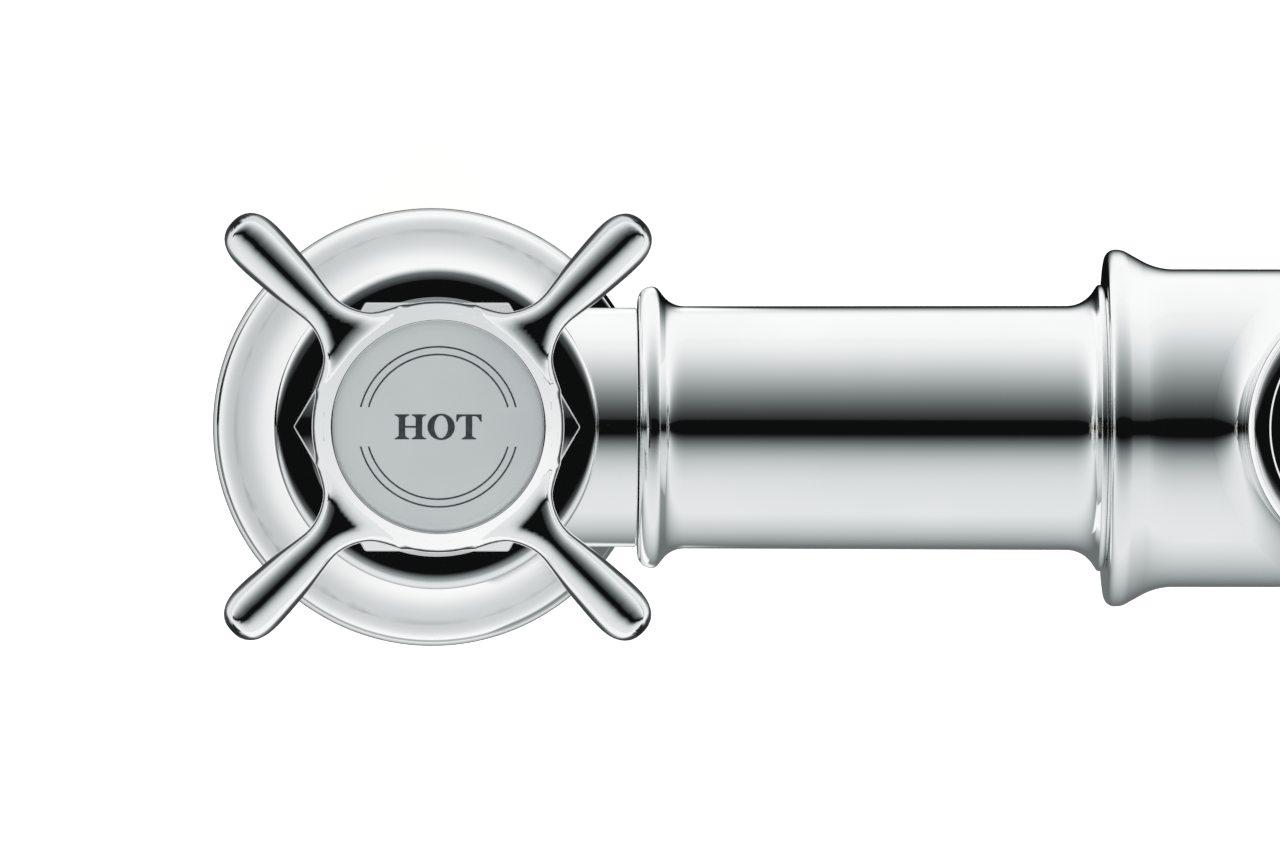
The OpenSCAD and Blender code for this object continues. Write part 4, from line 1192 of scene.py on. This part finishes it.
def high_card():
    """Painted floor reflection for the handles: painted shade close by on the arms' bearings, bright
    elsewhere.
    """
    g = np.arange(-320, 321, 4)
    x, y = np.meshgrid(g, g, indexing="xy")
    # It rises over the centre body's neck
    z = HIGH_CARD_Z + 1.1 * (1 - ease(np.hypot(x, y), 22, 60))
    holes = [(at * MM, 0, 90 * MM) for at in PILLARS]
    glow_sheet("high_floor_card", np.stack([x, y, z], -1) * MM, sheet_tone(x, y), PAINTED_REFLECTION_CARD, holes)
    turns = np.linspace(2 * math.pi, 0, 241)
    reach, turn = np.meshgrid(np.arange(15.4, 97.5, 1.0), turns, indexing="ij")
    # Bearing from the nearest arm, and the painted shade: a strip under the arm and a band round the
    # hub
    off = np.radians((np.degrees(turn) % 90) - 45)
    strip = (1 - ease(reach * np.abs(np.sin(off)), 8, 18)) * ease(reach * np.cos(off), 21, 27)
    band = ease(reach, 20, 24) * (1 - ease(reach, 29, 44))
    # Share of painted shade at each place
    dark = np.maximum(strip, band)
    for s in (-1, 1):
        x, y = s * HALF_PITCH + reach * np.cos(turn), reach * np.sin(turn)
        tone = sheet_tone(x, y)
        tone = blend(tone, under_arms(reach), dark)
        points = np.stack([x, y, np.full_like(reach, ARMS_CARD_Z)], -1)
        glow_sheet("under_arms_card_%d" % (s + 1), points * MM, tone, PAINTED_REFLECTION_CARD)


def end_walls():
    """Dark ends of the vault."""
    for s in (-1, 1):
        wall = [[(s * VAULT_HALF, y, z) for y in (-3, 3)] for z in (-0.2, 3)]
        glow_sheet("end_wall_%d" % (s + 1), wall, [[10], [10]])


vault()
low_card()
high_card()
end_walls()


def seen_by_rays(t):
    """1 for what the camera, a reflection or a refraction sees, and 0 for other light."""
    ray = t.nodes.new("ShaderNodeLightPath").outputs
    indirect = maths(t, "MAXIMUM", ray["Is Glossy Ray"], ray["Is Transmission Ray"])
    return maths(t, "MAXIMUM", ray["Is Camera Ray"], indirect)


def floor():
    """White floor that adds a glow of its own where it is seen, and keeps the shadows."""
    mesh = bpy.data.meshes.new("floor")
    n, size = 16, 24.0
    g = np.linspace(-size, size, n + 1)
    verts = [(x, y, FLOOR_Z) for y in g for x in g]
    corners = [j * (n + 1) + i for j in range(n) for i in range(n)]
    faces = [(c, c + 1, c + n + 2, c + n + 1) for c in corners]
    mesh.from_pydata(verts, [], faces)
    m, t, s = nodes_of("white_floor")
    slow = noise(t, 3, 2)
    colour_by(t, s, slow, (0.86, 0.86, 0.86), (0.88, 0.88, 0.88))
    s.inputs["Roughness"].default_value = 0.9
    s.inputs["Specular IOR Level"].default_value = 0.0
    glow = t.nodes.new("ShaderNodeEmission")
    t.links.new(maths(t, "MULTIPLY", seen_by_rays(t), 0.5), glow.inputs["Strength"])
    add = t.nodes.new("ShaderNodeAddShader")
    out = t.nodes["Material Output"]
    t.links.new(s.outputs["BSDF"], add.inputs[0])
    t.links.new(glow.outputs["Emission"], add.inputs[1])
    t.links.new(add.outputs["Shader"], out.inputs["Surface"])
    mesh.materials.append(m)
    placed("floor", mesh)


floor()

# White where it is seen, and dimmer as a light
world = bpy.data.worlds.new("studio")
bpy.context.scene.world = world
world.use_nodes = True
t = world.node_tree
background = t.nodes["Background"]
background.inputs["Color"].default_value = (1, 1, 1, 1)
level = t.nodes.new("ShaderNodeMapRange")
level.inputs["To Min"].default_value = 0.62
level.inputs["To Max"].default_value = 1.0
t.links.new(seen_by_rays(t), level.inputs["Value"])
t.links.new(level.outputs["Result"], background.inputs["Strength"])

# Soft lamp for the shadow
lamp_data = bpy.data.lights.new("soft_key", "AREA")
lamp_data.shape = "RECTANGLE"
lamp_data.size, lamp_data.size_y = 2.0, 1.4
lamp_data.energy = 26
lamp = placed("soft_key", lamp_data)
lamp.location = (0.1, -1.0, 2.1)
lamp.rotation_mode = "QUATERNION"
lamp.rotation_quaternion = (Vector((-0.05, 0, 0.05)) - lamp.location).to_track_quat("-Z", "Y")
lamp.visible_glossy = False

# Camera: nearly straight down, from far off, with the frame turned by the roll
CAMERA_AT, LOOK_AT = Vector((-0.1157, -0.0005, 2.048)), Vector((-0.07833, -0.0005, 0.048))
ROLL = math.radians(0.09)
camera_data = bpy.data.cameras.new("camera")
camera_data.sensor_width = 36.0
camera_data.lens = 531.6
camera_data.clip_start, camera_data.clip_end = 0.1, 60
camera = placed("camera", camera_data)
camera.location = CAMERA_AT
look = (LOOK_AT - CAMERA_AT).normalized()
right = look.cross(Vector((-math.sin(ROLL), math.cos(ROLL), 0))).normalized()
camera.rotation_mode = "QUATERNION"
camera.rotation_quaternion = Matrix((right, right.cross(look), -look)).transposed().to_quaternion()
bpy.context.scene.camera = camera
bpy.context.scene.view_settings.view_transform = "Standard"
